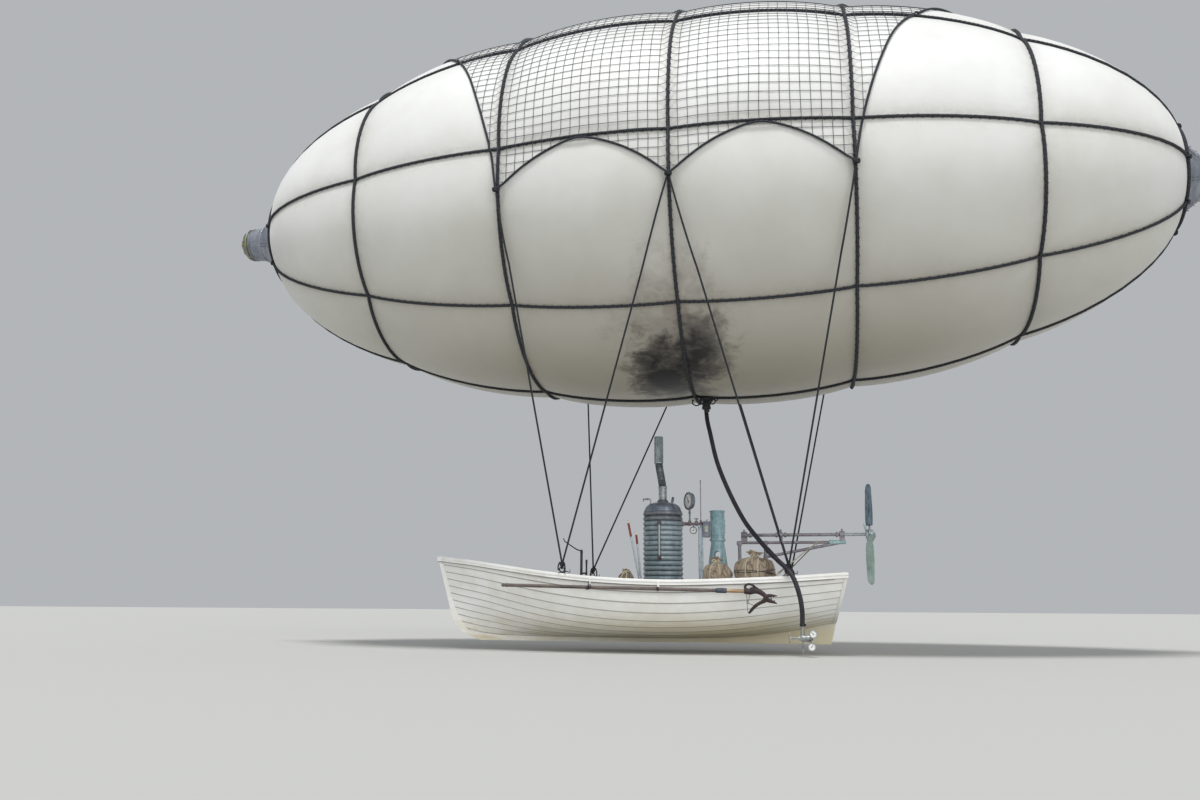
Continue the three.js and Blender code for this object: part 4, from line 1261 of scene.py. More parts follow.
def makePlanking():
    strakes, fine = boat["strakes"], 4
    shares = hullShares()
    sections = []
    for share in shares:
        line = girth(share, strakes * fine)
        lap = lapAt(share)
        half = []
        for i in range(strakes):
            for k in range(fine + 1):
                p, out = line[i * fine + k]
                t = k / fine
                q = p + out * (lap * t)
                half.append((point(lengthwise(share, q.y), -q.x, q.y), t))
        sections.append(half)
    count, uvs, points, faces = len(sections[0]), [], [], []
    for side in (1, -1):
        start = len(points)
        points += mirrored([p for half in sections for p, t in half], side)
        for i in range(len(shares) - 1):
            for k in range(count - 1):
                corners = [(i, k), (i, k + 1), (i + 1, k + 1), (i + 1, k)]
                faces.append([start + a * count + b for a, b in corners])
                if (k + 1) % (fine + 1) == 0:
                    # the step under a plank's edge, all in the dark lap line: painted shade with grime
                    uvs.append([(sections[a][b][0].x, 1) for a, b in corners])
                else:
                    uvs.append([(sections[a][b][0].x, sections[a][b][1]) for a, b in corners])
    put((points, faces, uvs))

    # inside face of the planks and the edges between the two
    inner = []
    for share in shares:
        line = girth(share, strakes * 2)
        row = []
        for p, out in line:
            z = p.y - out.y * boat["plank"]
            row.append(point(lengthwise(share, z), -max(p.x - out.x * boat["plank"], 0.001), z))
        inner.append(row)
    for side in (1, -1):
        rows = [mirrored(row, side) for row in inner]
        width = len(rows[0])
        put(([p for row in rows for p in row], [[i * width + k, (i + 1) * width + k,
            (i + 1) * width + k + 1, i * width + k + 1] for i in range(len(rows) - 1)
            for k in range(width - 1)], None), 1)
        outerTop = [point(half[0][0].x, half[0][0].y * side, half[0][0].z) for half in sections]
        innerTop = [row[0] for row in rows]
        put(strip(outerTop, innerTop), 1)
    # the keel plank closes the bottom between the two sides
    low = [half[-1][0] for half in sections]
    put(strip(low, mirrored(low)), 1)
    deep = [row[-1] for row in inner]
    put(strip(deep, mirrored(deep)), 1)
    makePiece("planking", [hullPaint, trimPaint], "hull_planking", sharp=35)


def insideLine(share, inset, steps):
    made = []
    for p, out in girth(share, steps):
        z = p.y - out.y * inset
        made.append(point(lengthwise(share, z), -max(p.x - out.x * inset, 0.004), z))
    return made


def makeFrames():
    for n in range(hullLook["frames"]):
        share = 0.12 + 0.84 * n / (hullLook["frames"] - 1)
        near, far = insideLine(share, boat["plank"] + 0.001, 24), insideLine(share, boat["plank"] + 0.012, 24)
        for side in (1, -1):
            sections = []
            for a, b in zip(near, far):
                half = xAxis * 0.012
                sections.append(mirrored([a - half, b - half, b + half, a + half], side))
            put(rounded(loft(sections), 0.002, 1, 60))
    # the riser under the thwarts, and the inwale along the frames' heads
    for side in (1, -1):
        for drop, tall, thick in ((0.31, 0.06, 0.016), (0.03, 0.045, 0.018)):
            sections = []
            for k in range(49):
                share = 0.08 + 0.9 * k / 48
                sheer = hullLine(share)[1]
                z = (boat["seatTop"] - 0.031) if drop > 0.1 else sheer - drop
                top = insideAt(share, z, boat["plank"] + 0.0125)
                foot = insideAt(share, z - tall, boat["plank"] + 0.0125)
                shift = point(0, thick, 0)
                sections.append(mirrored([top, top + shift, foot + shift, foot], side))
            put(loft(sections))
    makePiece("hull_frames", [trimPaint], sharp=40)


def insideAt(share, z, inset):
    # the inner face's point at a height
    line = insideLine(share, inset, 40)
    for a, b in zip(line, line[1:]):
        if b.z <= z <= a.z:
            return a.lerp(b, (a.z - z) / (a.z - b.z))
    return line[0] if z > line[0].z else line[-1]


rimProfile = mm((7, 0.3), (7, -35), (10, -38), (24, -38), (28, -35), (28.5, -16), (27, -13.5),
    (28.5, -11), (34, -9), (34, 6), (32.5, 11), (29, 14.5), (24, 16), (-22, 16), (-27, 14.5), (-30, 10),
    (-30, 0.3))


def makeGunwale(side, label):
    rows = [(0, boat["bow"] + 0.001, 1)]
    rows += [(s, lengthwise(s, hullLine(s)[1]), 1) for s in hullShares()]
    end = boat["stern"] + boat["transomThick"]
    rows += [(1, end - 0.012, 1), (1, end - 0.004, 0.93), (1, end, 0.78)]
    sections = []
    for share, x, size in rows:
        beam, sheer = hullLine(share)[:2]
        section = []
        for out, up in rimProfile:
            if x > boat["stern"] - 0.07 and up < 0:
                out = max(out, 0.0115)
            out, up = 0.002 + (out - 0.002) * size, (up + 0.02) * size - 0.02
            section.append(point(x, side * max(beam + out, 0.0003), sheer + up))
        sections.append(section)
    put(loft(sections))
    # a dark strip under the rubbing strip: painted shadow of the rim
    seam, edge = [], mm((8, -36), (24.5, -36), (21.5, -43.5), (8, -43.5))
    for share, x, size in rows:
        if x < boat["stern"] - 0.07:
            beam, sheer = hullLine(share)[:2]
            seam.append([point(x, side * max(beam + out, 0.0003), sheer + up) for out, up in edge])
    put(loft(seam), 1)
    makePiece(f"rim_{label}", [trimPaint, seamShade], f"gunwale_{label}", sharp=50)


def makeTransom():
    foot = boat["lines"][-1][3] - boat["lap"]
    board = []
    for shift in (0.0003, boat["transomThick"]):
        half = []
        for p, out in girth(1, 40):
            edge = p + out * (boat["lap"] + 0.002)
            z = max(edge.y, foot)
            half.append(point(lengthwise(1, z) + shift, -edge.x, z))
        board.append(half + mirrored(reversed(half)))
    put(rounded(loft(board), 0.004, 2, 60))
    # a capping inside the top edge and two knees into the corners
    beam, sheer = hullLine(1)[:2]
    block((boat["stern"] - 0.03, -beam + 0.035, sheer - 0.048),
        (boat["stern"] - 0.0005, beam - 0.035, sheer - 0.004), 0.003)
    for side in (-1, 1):
        outline = mm((0, 0), (160, 0), (100, 35), (50, 75), (30, 140), (0, 160))
        knee = plate(outline, 0.02)
        spot = Matrix.Translation((boat["stern"] - 0.032, side * (beam - 0.034),
            sheer - 0.02)) @ Matrix.Diagonal((-1, -side, 1, 1))
        put(rounded(knee, 0.003), 0, spot)
    makePiece("transom_board", [trimPaint], "transom", sharp=40)


def bevelled(name, width, finish, segments=2):
    # a CAD node keeps its shape and gets worn edges and its finish
    piece = nodes[name]
    edge = piece.modifiers.new("worn edges", "BEVEL")
    edge.width, edge.segments, edge.limit_method, edge.angle_limit = width, segments, "ANGLE", radians(32)
    edge.harden_normals = True
    piece.data.materials.clear()
    piece.data.materials.append(finish)


makePlanking()
makeFrames()
makeGunwale(-1, "port")
makeGunwale(1, "starboard")
makeTransom()
bevelled("keel", 0.005, trimPaint, 3)


# Inside timber: boards, seats and benches

timberLook = {
    "light": "b98d5c",
    "dark": "7d552f",
    "worn": "8f8170",
    "boardWidth": 0.105,
}


def woodFinish(name, light, dark, grain, rough, boards=0):
    finish = newFinish(name, rough)
    stretch = (0.12, 1, 1) if grain == "X" else (1, 0.12, 1)
    rings = threads(whereOf(stretch), 9, "Y" if grain == "X" else "X", 7, 4, {"Detail Scale": 1.4})
    fibres = speckle(70, 5, 0.7, stretch)
    tone = ramp(reckon("MULTIPLY_ADD", rings, 0.6, times(fibres, 0.45)), [(0.2, dark), (0.75, light)])
    worn = ramp(speckle(5, 6, 0.7), [(0.5, 0), (0.7, 0.6)])
    tone = mixed(worn, tone, timberLook["worn"])
    if boards:
        place = axes()["Y" if grain == "X" else "X"]
        seam = reckon("ABSOLUTE", less(reckon("FRACT", times(place, 1 / boards)), 0.5))
        joint = ramp(seam, [(0.455, 0), (0.48, 1)])
        tone = mixed(joint, tone, "231a12")
        dent(less(1, joint), 0.004)
    colourBy(tone)
    roughBy(worn, rough, min(rough + 0.3, 1))
    dent(fibres, 0.0008, 0.8)
    return finish


boardTimber = woodFinish("boardTimber", timberLook["light"], timberLook["dark"], "X", 0.5,
    timberLook["boardWidth"])
thwartTimber = woodFinish("thwartTimber", "a97c4c", "6b4626", "Y", 0.42)
benchTimber = woodFinish("benchTimber", "a97c4c", "6b4626", "X", 0.42)
poleWood = woodFinish("poleWood", "635855", "2f2826", "X", 0.5)
paleWood = woodFinish("paleWood", "bfa484", "86694b", "X", 0.6)

for name in ("floorboards", "bench_port", "bench_starboard"):
    bevelled(name, 0.003, boardTimber if name == "floorboards" else benchTimber)
for name in ("breasthook", "thwart_fore", "thwart_mid", "thwart_aft"):
    bevelled(name, 0.004, thwartTimber)
bevelled("engine_bed", 0.005, benchTimber)
print("stage: boat")


# Boiler: a banded drum with a domed head, its firebox door, relief pipe and flue

boiler = {
    "x": -0.35,
    "radius": 0.197,
    "groove": 0.187,
    "pitch": 0.05,
    "rings": 15,
    "shoulder": -3.21,
    "foot": -4.3447,
    "green": "99a9b2",
    "dark": "20221f",
}
flue = {
    "radius": 0.041,
    "upper": 0.046,
    "top": -2.432,
    "knee": -2.705,
    "lean": -0.039,
}


def boilerPatina():
    finish = newFinish("boilerPatina", 0.42, 0.3)
    height = axes()[2]
    ring = reckon("FRACT", reckon("DIVIDE", less(height, boiler["shoulder"]), boiler["pitch"]))
    groove = times(reckon("ABSOLUTE", less(ring, 0.5)), 2)
    patches = speckle(9, 6, 0.65, (1, 1, 0.6))
    tone = ramp(patches, [(0.28, "6b7982"), (0.5, boiler["green"]), (0.74, "c3cfd6")])
    runs = ramp(speckle(24, 6, 0.7, (1, 1, 0.16)), [(0.5, 0), (0.7, 0.75)])
    tone = mixed(runs, tone, "8fa8a2")
    # the top bands turn brown under the dome
    brown = ramp(speckle(14, 6, 0.66), [(0.3, "505359"), (0.7, "868a92")])
    tone = mixed(span(height, boiler["shoulder"] - 0.13, boiler["shoulder"] - 0.07), tone, brown)
    tone = mixed(ramp(groove, [(0.79, 0), (0.97, 0.93)]), tone, boiler["dark"])
    crown = ramp(times(less(1, groove), speckle(30, 5, 0.7)), [(0.42, 0), (0.62, 0.5)])
    colourBy(mixed(crown, tone, "a9b4b4"))
    roughBy(patches, 0.32, 0.62)
    dent(speckle(45, 4, 0.6), 0.0015, 0.5)
    return finish


def verdigrisFinish(name, dark, mid, light, metal=0.35):
    # copper green that has run downwards in streaks
    finish = newFinish(name, 0.6, metal)
    patches = speckle(10, 7, 0.68)
    tone = ramp(patches, [(0.27, dark), (0.5, mid), (0.74, light)])
    runs = ramp(speckle(34, 6, 0.72, (1, 1, 0.1)), [(0.48, 0), (0.68, 0.8)])
    tone = mixed(runs, tone, light)
    spots = ramp(speckle(70, 5, 0.7), [(0.6, 0), (0.7, 0.7)])
    colourBy(mixed(spots, tone, "3a3630"))
    roughBy(patches, 0.42, 0.75)
    dent(patches, 0.002, 0.5)
    dent(speckle(120, 4), 0.0008, 0.5)
    return finish


patina = boilerPatina()
bronze = cloudyFinish("domeBronze", 0.35, 0.45, (12, 6, 0.66),
    [(0.3, "5c626e"), (0.55, "868e9c"), (0.75, "bcc6d4")], (0.25, 0.55), [(None, 0.003, 0.4)],
    ((26, 6, 0.7, (1, 1, 0.2)), [(0.52, 0), (0.7, 0.6)], "66707a"))
engineGreen = verdigrisFinish("engineVerdigris", "66858c", "91b3ba", "bdd4d7", 0.2)
# the top blade's darker copy of the verdigris is painted shade; the other blades take the pale copy
bladeShaded = verdigrisFinish("bladeVerdigrisShaded", "323f48", "52646f", "8799a4", 0.25)
bladeMint = verdigrisFinish("bladeVerdigrisPale", "88a5a0", "b6d0c9", "dae9e4", 0.15)
flueGreen = verdigrisFinish("flueGreen", "545f64", "7b8788", "a9b2b3", 0.35)
boomRust = ironFinish("boomRust", "7a767d", "b1adb4", "8f8583", 0.5, 0.2)
sleeveGreen = verdigrisFinish("sleeveVerdigris", "78a0a4", "a2c6c8", "cbe0e0", 0.15)
steelRod = ironFinish("steelRod", "98a2aa", "d2dce4", "a09a94", 0.36, 0.35)
guyCream = ironFinish("guyCream", "b5ae9c", "dcd6c4", "9c907b", 0.5, 0.2)
caseGrey = ironFinish("caseGrey", "5c666d", "929da4", "7b7c7a", 0.4, 0.4)


def flanged(place, ahead, radius, thick, bolts, mark=0, boltMark=0):
    # a pipe flange with a ring of bolts on its face
    base = toward(place, ahead)
    lathe([(0, -thick / 2), (radius - 0.001, -thick / 2), (radius, -thick / 2 + 0.001),
        (radius, thick / 2 - 0.001), (radius - 0.001, thick / 2), (0, thick / 2)], 36, base, mark)
    for turn in turnsOf(bolts, 0.5):
        spot = Matrix.Translation(around(turn, radius * 0.78, thick / 2))
        bolt(radius * 0.11, radius * 0.09, base @ spot, boltMark)


def makeBoiler():
    x, radius, groove = boiler["x"], boiler["radius"], boiler["groove"]
    top, foot, pitch, rings = boiler["shoulder"], boiler["foot"], boiler["pitch"], boiler["rings"]
    lowest = top - rings * pitch
    profile = [(0, foot), (0.191, foot), (0.1915, foot + 0.02), (0.188, foot + 0.024),
        (0.188, lowest - 0.012), (0.191, lowest - 0.008)]
    for i in range(rings):
        z = lowest + i * pitch
        profile += [(groove + (radius + 0.005 - groove) * sin(pi * k / 8) ** 0.7, z + pitch * k / 8)
            for k in range(8)]
    profile.append((groove, top))
    at = (x, 0, 0)
    lathe([*profile, (0, top)], 96, at)
    dome = mm((0, -10), (186.5, -10), (190.5, -4), (190.5, 8), (187, 12), (184, 24), (177, 40), (165, 56),
        (147, 70), (125, 81), (98, 89), (72, 93), (62, 96), (0, 96))
    lathe(dome, 96, (x, 0, top), 1)
    for turn in turnsOf(28):
        lean = around(turn, 1, 0.15)
        lathe(mm((6, -3), (5.5, 2), (0, 4.5)), 10, toward(point(x, 0, top + 0.002) + around(turn) * 0.19,
            lean), 1)
    # firebox door low on the port side, with its hinges and latch
    door = rounded(slab((x - 0.085, -0.204, -4.25), (x + 0.085, -0.185, -4.09)), 0.006)
    put(door, 2)
    for z in (-4.215, -4.125):
        pipe([(x - 0.098, -0.2, z), (x - 0.02, -0.207, z)], 0.006, 10, 2)
    pipe([(x + 0.05, -0.2, -4.17), (x + 0.05, -0.222, -4.17), (x + 0.085, -0.226, -4.17)], 0.005, 10, 2)
    for k in range(9):
        put(slab((x - 0.055 + 0.013 * k, -0.2055, -4.235), (x - 0.049 + 0.013 * k, -0.203, -4.205)), 2)
    # relief pipe: up out of the dome, then across to the port bow
    start = point(x - 0.118, -0.06, 0)
    path = [start + zAxis * -3.165, start + zAxis * -3.1, start + point(-0.002, 0, -3.088),
        start + point(-0.012, 0, -3.084), start + point(-0.08, 0, -3.084)]
    pipe(path, 0.0075, 14, 3)
    bolt(0.014, 0.014, start + zAxis * -3.146, 3)
    bolt(0.0125, 0.012, toward(start + point(-0.03, 0, -3.084), (-1, 0, 0)), 3)
    pipe([start + point(-0.073, 0, -3.084), start + point(-0.073, 0, -3.112)], 0.006, 10, 3)
    # feed cock and whistle on the starboard side of the dome
    lathe(mm((0, 0), (16, 0), (16, 12), (9, 16), (9, 50), (14, 54), (14, 100), (10, 106), (0, 108)), 24,
        toward((x + 0.075, 0.105, -3.15), (0.15, 0.25, 1)), 1)
    makePiece("boiler_drum", [patina, bronze, blackIron, alloy], "boiler", sharp=42)


def makeFlue():
    x = boiler["x"]
    radius, wide = flue["radius"], flue["upper"]
    top = x + flue["lean"]
    lathe(mm((0, -3113.7), (56, -3113.7), (56, -3099), (50, -3094), (46, -3090), (0, -3090)), 40,
        (x, 0, 0), 1)
    low = [(x, 0, -3.104), (x, 0, -3.03), (x, 0, -2.99), (x - 0.001, 0, -2.96)]
    pipe(low, radius, 28, ups=[yAxis] * len(low))
    bend = curveThrough([(x, 0, -2.965), (x - 0.003, 0, -2.935), (x - 0.012, 0, -2.88),
        (x - 0.026, 0, -2.8), (x - 0.036, 0, -2.735), (top, 0, -2.7)], 7)
    # a loose flexible length, ringed like a bellows
    pipe(bend, 0, 28, 1, ups=[yAxis] * len(bend), radii=[radius - 0.002 + 0.0022 * cos(i * pi)
        for i in range(len(bend))])
    for z, shift in ((-2.962, 0), (-2.704, flue["lean"])):
        lathe([(radius - 0.002, -0.009), (wide - 0.001, -0.008), (wide, 0), (wide - 0.001, 0.008),
            (radius - 0.002, 0.009)], 32, (x + shift, 0, z))
    upper = [(0.04, flue["knee"]), (wide, flue["knee"] + 0.002), (wide, -2.58), (wide + 0.0015, -2.575),
        (wide + 0.0015, -2.567), (wide, -2.562), (wide, flue["top"] - 0.004),
        (wide - 0.0015, flue["top"]), (wide - 0.005, flue["top"]), (wide - 0.005, -2.6), (0, -2.605)]
    lathe(upper, 48, (top, 0, 0), 2)
    # the lapped seam up the back of each length
    pipe([(x, 0.0405, -3.09), (x, 0.0405, -2.97)], 0.0035, 6)
    pipe([(top, 0.0455, -2.7), (top, 0.0455, -2.436)], 0.0035, 6, 2)
    makePiece("flue_pipe", [alloy, flueSteel, flueGreen], "chimney", sharp=50)


flueSteel = ironFinish("flueSteel", "3c454a", "6e7a80", "5c534f", 0.42, 0.4)
makeBoiler()
makeFlue()


sightGlass = {"x": -0.357, "high": -3.335, "low": -3.685, "out": 0.026, "radius": 0.0075}


def makeSightGlass():
    x, y = sightGlass["x"], -boiler["radius"] - 0.0003 - sightGlass["out"]
    low, high = sightGlass["low"], sightGlass["high"]
    for z, way in ((high, 1), (low, -1)):
        lathe(mm((0, -2), (21, -2), (21, 5), (15, 8), (15, 18), (18, 20), (18, 33), (14, 35), (0, 35)),
            24, toward((x, -boiler["radius"], z), (0, -1, 0)))
        lathe(mm((0, -16), (10, -16), (12, -12), (12, 12), (9.5, 18), (9.5, 24), (0, 24)), 20,
            toward((x, y, z), (0, 0, -way)))
        bolt(0.0125, 0.009, toward((x, y, z - way * 0.02), (0, 0, way)))
    pipe([(x, y, high - 0.015), (x, y, low + 0.015)], sightGlass["radius"], 20, 1)
    for shift in (-0.014, 0.014):
        pipe([(x + shift, y - 0.004, high - 0.012), (x + shift, y - 0.004, low + 0.012)], 0.0018, 8)
    # drain and the lever with its white knob
    pipe([(x, y, low - 0.01), (x, y, low - 0.024)], 0.006, 12)
    pipe([(x, y - 0.006, low), (x + 0.012, y - 0.012, low), (x + 0.03, y - 0.012, low + 0.001)], 0.0045, 10)
    knob(0.0105, 18, (x + 0.03, y - 0.012, low + 0.001), 2)
    makePiece("boiler_sight_glass", [rustyIron, glassWater, whiteKnob], "sight_glass")


def plainGloss(name, code, shade, rough):
    stops, bumps = [(0.3, shade), (0.7, code)], [((150, 3), 0.0005, 0.4)]
    return cloudyFinish(name, rough, 0, (40, 5, 0.65), stops, bumps=bumps)


whiteKnob = plainGloss("whiteKnob", "efece2", "c9c2b0", 0.25)
glassWater = plainGloss("waterGlass", "cfd8d4", "a9b5b0", 0.12)
redPaint = plainGloss("redPaint", "a04a3c", "6e352f", 0.5)
oilPane = plainGloss("oilPane", "d6d3c4", "aaa797", 0.2)
poleGrey = plainGloss("poleGrey", "ced6dc", "9fa8b0", 0.5)
makeSightGlass()


steam = {"z": -3.335, "radius": 0.014, "from": -0.1527, "to": 0.062, "standX": 0.038, "feedX": (0.02, 0.047)}


def makeSteamPipe():
    z = steam["z"]
    start, stand = steam["from"], steam["standX"]
    pipe([(start, 0, z), (-0.1, 0, z), (-0.02, 0, z), (steam["to"], 0, z)], steam["radius"] - 0.001, 18)
    flanged((start + 0.006, 0, z), xAxis, 0.03, 0.01, 6)
    bolt(0.021, 0.018, toward((-0.125, 0, z), xAxis))
    # tee under the large gauge, the globe valve and its handwheel
    lathe(collar(0.017, 0.02, 0.022, 0.018), 24, toward((-0.078, 0, z), xAxis))
    lathe(mm((0, 0), (14, 0), (16, 4), (16, 20), (0, 20)), 20, (-0.075, 0, z))
    knob(0.022, 20, (-0.008, 0, z))
    bolt(0.017, 0.012, (-0.008, 0, z + 0.018))
    pipe([(-0.008, 0, z + 0.02), (-0.008, 0, z + 0.052)], 0.0045, 10)
    hoop(0.021, 0.0032, 28, 8, (-0.008, 0, z + 0.05))
    for k in range(4):
        turn = pi * k / 2 + 0.4
        pipe([(-0.008, 0, z + 0.05), (-0.008 + 0.021 * cos(turn), 0.021 * sin(turn), z + 0.05)], 0.0024, 7)
    bolt(0.0195, 0.016, toward((0.046, 0, z), xAxis))
    # tall thin vent and the twin feed pipes
    pipe([(stand, 0, z), (stand, 0, -3.1), (stand, 0, -2.8905)], 0.0048, 12, 1)
    lathe(mm((0, 0), (10, 0), (10, 22), (6, 26), (0, 26)), 16, (stand, 0, z + 0.012))
    lathe(mm((0, 0), (6.5, 0), (6.8, 8), (4, 11.5), (0, 12)), 14, (stand, 0, -2.902), 1)
    for x in steam["feedX"]:
        pipe([(x, 0, boat["floorTop"] + 0.0003), (x, 0, -3.9), (x, 0, z - 0.012)], 0.0105, 16, 2)
        for level in (-3.36, -3.62, -3.98):
            lathe(collar(0.0122, 0.0132, 0.012, 0.008), 20, (x, 0, level), 2)
        flanged((x, 0, boat["floorTop"] + 0.005), zAxis, 0.0125, 0.009, 0, 2, 2)
    block((0.004, -0.014, -3.8), (0.063, 0.014, -3.785), 0.002, mark=2)
    makePiece("steam_pipework", [pipeMauve, boomRust, feedPipe], "steam_pipe", sharp=45)


feedPipe = ironFinish("feedPipe", "a3b6c0", "d6e4ec", "aeb0aa", 0.32, 0.3)
pipeMauve = ironFinish("pipeMauve", "5a4e55", "9a8d93", "7a655f", 0.45, 0.3)
makeSteamPipe()


gauges = {
    "large": {"x": -0.075, "z": -3.103, "radius": 0.092, "depth": 0.046, "turn": 55, "needle": 118},
    "small": {"x": -0.037, "z": -3.402, "radius": 0.038},
    "oilBox": ((0.0623, -0.048, -3.473), (0.128, 0.03, -3.313)),
}


def makeGauges():
    big = gauges["large"]
    wide, level = big["radius"], steam["z"]
    turn = radians(big["turn"])
    face = point(-sin(turn), -cos(turn), 0)
    lens = newBatch()
    spot = gauge((big["x"], 0, big["z"]), face, wide, big["depth"], big["needle"], scallops=14)
    lathe([(0, -0.001), (wide * 0.83, -0.001), (wide * 0.83, 0), (wide * 0.5, 0.003), (0, 0.004)], 56,
        spot, into=lens)
    stem = [(0, level + 0.0203), (0.014, level + 0.0203), (0.014, level + 0.034), (0.009, level + 0.038),
        (0.0085, -3.235), (0.013, -3.232), (0.013, -3.215), (0.01, -3.21), (0.0095, -3.19), (0, -3.19)]
    lathe(stem, 24, (big["x"], 0, 0))
    makePiece("large_gauge", [caseGrey, dial, ink], "pressure_gauge", sharp=32)
    makePiece("large_gauge_glass", [glass], batch=lens)

    small, lens = gauges["small"], newBatch()
    x = small["x"]
    spot = gauge((x, -0.011, small["z"]), (0, -1, 0), small["radius"], 0.034, 70)
    lathe([(0, -0.001), (small["radius"] * 0.83, -0.001), (small["radius"] * 0.83, 0), (0, 0.0018)], 40,
        spot, into=lens)
    pipe([(x, 0, small["z"] + 0.02), (x, 0, level - steam["radius"] - 0.0003)], 0.0058, 14)
    bolt(0.0095, 0.009, (x, 0, small["z"] + 0.04))
    makePiece("small_gauge", [caseGrey, dial, ink], "test_gauge", sharp=32)
    makePiece("small_gauge_glass", [glass], batch=lens)

    low, high = gauges["oilBox"]
    block(low, (high[0], high[1], high[2] - 0.022), 0.004, 3)
    block((low[0], low[1] - 0.002, high[2] - 0.021), (high[0] - 0.0005, high[1] + 0.002, high[2]), 0.003, 3)
    block((low[0] + 0.012, low[1] - 0.004, low[2] + 0.045),
        (high[0] - 0.012, low[1] + 0.002, high[2] - 0.045), 0.0015, mark=1)
    block((low[0] + 0.017, low[1] - 0.0048, low[2] + 0.05),
        (high[0] - 0.017, low[1] - 0.003, high[2] - 0.05), 0.001, mark=2)
    for x in (low[0] + 0.008, high[0] - 0.008):
        for z in (low[2] + 0.012, high[2] - 0.034):
            bolt(0.0042, 0.003, toward((x, low[1], z), (0, -1, 0)), 1)
    pipe([(0.095, -0.01, high[2] - 0.002), (0.095, -0.01, high[2] + 0.012),
        (0.112, -0.01, high[2] + 0.017)], 0.004, 10, 1)
    makePiece("oil_box", [zinc, caseGrey, oilPane], "lubricator")


makeGauges()
print("stage: boiler, pipes and gauges")


# Engine: a closed cylinder bolted on its arched column

engine = {
    "x": 0.204,
    "cylinder": mm((0, -3512), (78.5, -3512), (80, -3509), (80, -3494), (78, -3491), (71, -3487),
        (69.5, -3478), (70.5, -3360), (71.5, -3240), (73, -3226), (76.5, -3220), (77, -3211),
        (74.5, -3208), (50, -3208), (46, -3210.5), (0, -3210.5)),
    "bolts": 10,
}


def makeEngine():
    at = point(engine["x"], 0, 0)
    lathe(engine["cylinder"], 64, at)
    for turn in turnsOf(engine["bolts"], 0.5):
        bolt(0.0058, 0.005, toward(at + around(turn, 0.0733825, -3.4895), zAxis, around(turn)))
        bolt(0.005, 0.0025, toward(at + around(turn, 0.063, -3.2081), zAxis, around(turn)))
    # raised bands and the steam chest's cover on the aft side
    for z in (-3.45, -3.27):
        lathe([(0.069, z - 0.006), (0.0735, z - 0.004), (0.0745, z), (0.0735, z + 0.004),
            (0.069, z + 0.006)], 64, at)
    block((0.058, -0.034, -3.43), (0.0752, 0.034, -3.29), 0.003, 3, where=at)
    for y in (-0.026, 0.026):
        for z in (-3.418, -3.36, -3.302):
            bolt(0.005, 0.003, toward(at + point(0.0752, y, z), xAxis))
    makePiece("engine_barrel", [engineGreen], "engine_cylinder", sharp=36)
    bevelled("engine_column", 0.005, engineGreen, 3)


makeEngine()


# Drive: the boom with its posts, strut and bearings, the guys, the shaft and the propeller

drive = {
    "z": -3.455,
    "boomZ": -3.53,
    "from": 0.4,
    "taperFrom": 1.3,
    "to": 1.461,
    "posts": (0.422, 0.678),
    "bearings": ((0.44, 0.5), (0.815, 0.85), (1.4, 1.45)),
    "guyTo": (1.18, 0, -3.53),
    "guyFrom": 0.8,
}
propeller = {
    "x": 1.687,
    "turn": radians(12),
    # radius, chord, pitch
    "sections": ((0.0843, 0.078, 58), (0.15, 0.096, 52), (0.26, 0.108, 44), (0.38, 0.114, 36),
        (0.446, 0.118, 32), (0.48, 0.092, 30), (0.494, 0.06, 29)),
    "thick": 0.007,
}


def makeBoom():
    z, low = drive["boomZ"], boat["floorTop"] + 0.0003
    axle, aftPost = drive["z"], drive["posts"][1]
    pipe([(drive["from"], 0, z), (0.8, 0, z), (drive["taperFrom"] + 0.01, 0, z)], 0.014, 20)
    lathe(mm((0, -2), (16.5, -2), (17, 3), (15, 6), (0, 6)), 20, toward((drive["from"], 0, z), (-1, 0, 0)))
    for x in drive["posts"]:
        pipe([(x, 0, low), (x, 0, -3.9), (x, 0, z)], 0.017, 20)
        flanged((x, 0, low + 0.006), zAxis, 0.048, 0.012, 4)
        # clamp that holds the boom on the post
        lathe(mm((0, -30), (21, -30), (22.5, -26), (22.5, -8), (21, -4), (0, -4)), 24, (x, 0, z))
        lathe(collar(0.0175, 0.019, 0.02, 0.017), 24, toward((x, 0, z), xAxis))
        bolt(0.007, 0.006, toward((x, -0.0215, z - 0.017), (0, -1, 0)))
    pipe([(aftPost, 0, -3.671), (1.05, 0, -3.601), (1.425, 0, z)], 0.0148, 20)
    lathe(collar(0.021, 0.0225, 0.02, 0.016), 24, (aftPost, 0, -3.671))
    for a, b in drive["bearings"]:
        middle, width = (a + b) / 2, b - a
        block((a, -0.017, z - 0.004), (b, 0.017, axle - 0.018), 0.003, 2)
        ring = [(0.0172, -width / 2), (0.03, -width / 2), (0.034, -width / 2 + 0.004),
            (0.034, width / 2 - 0.004), (0.03, width / 2), (0.0172, width / 2), (0.0172, -width / 2)]
        lathe(ring, 40, toward((middle, 0, axle), xAxis))
        for side in (-1, 1):
            block((a + 0.004, side * 0.037 - 0.01, axle - 0.009),
                (b - 0.004, side * 0.037 + 0.01, axle + 0.009), 0.002)
            bolt(0.0065, 0.006, (middle, side * 0.039, axle + 0.009))
        lathe(mm((0, 0), (7, 0), (7, 8), (10, 10), (10, 20), (6, 24), (0, 24)), 18, (middle, 0, axle + 0.032))
    makePiece("boom_tubes", [boomRust], "boom_frame", sharp=42)

    length = drive["to"] - drive["taperFrom"]
    lathe([(0, 0), (0.0225, 0), (0.024, 0.003), (0.024, 0.02), (0.0225, 0.024), (0.0215, 0.026),
        (0.0185, length - 0.02), (0.0185, length - 0.012), (0.017, length - 0.002), (0.015, length),
        (0, length)], 32, toward((drive["taperFrom"], 0, z), xAxis))
    makePiece("boom_sleeve", [sleeveGreen], sharp=40)


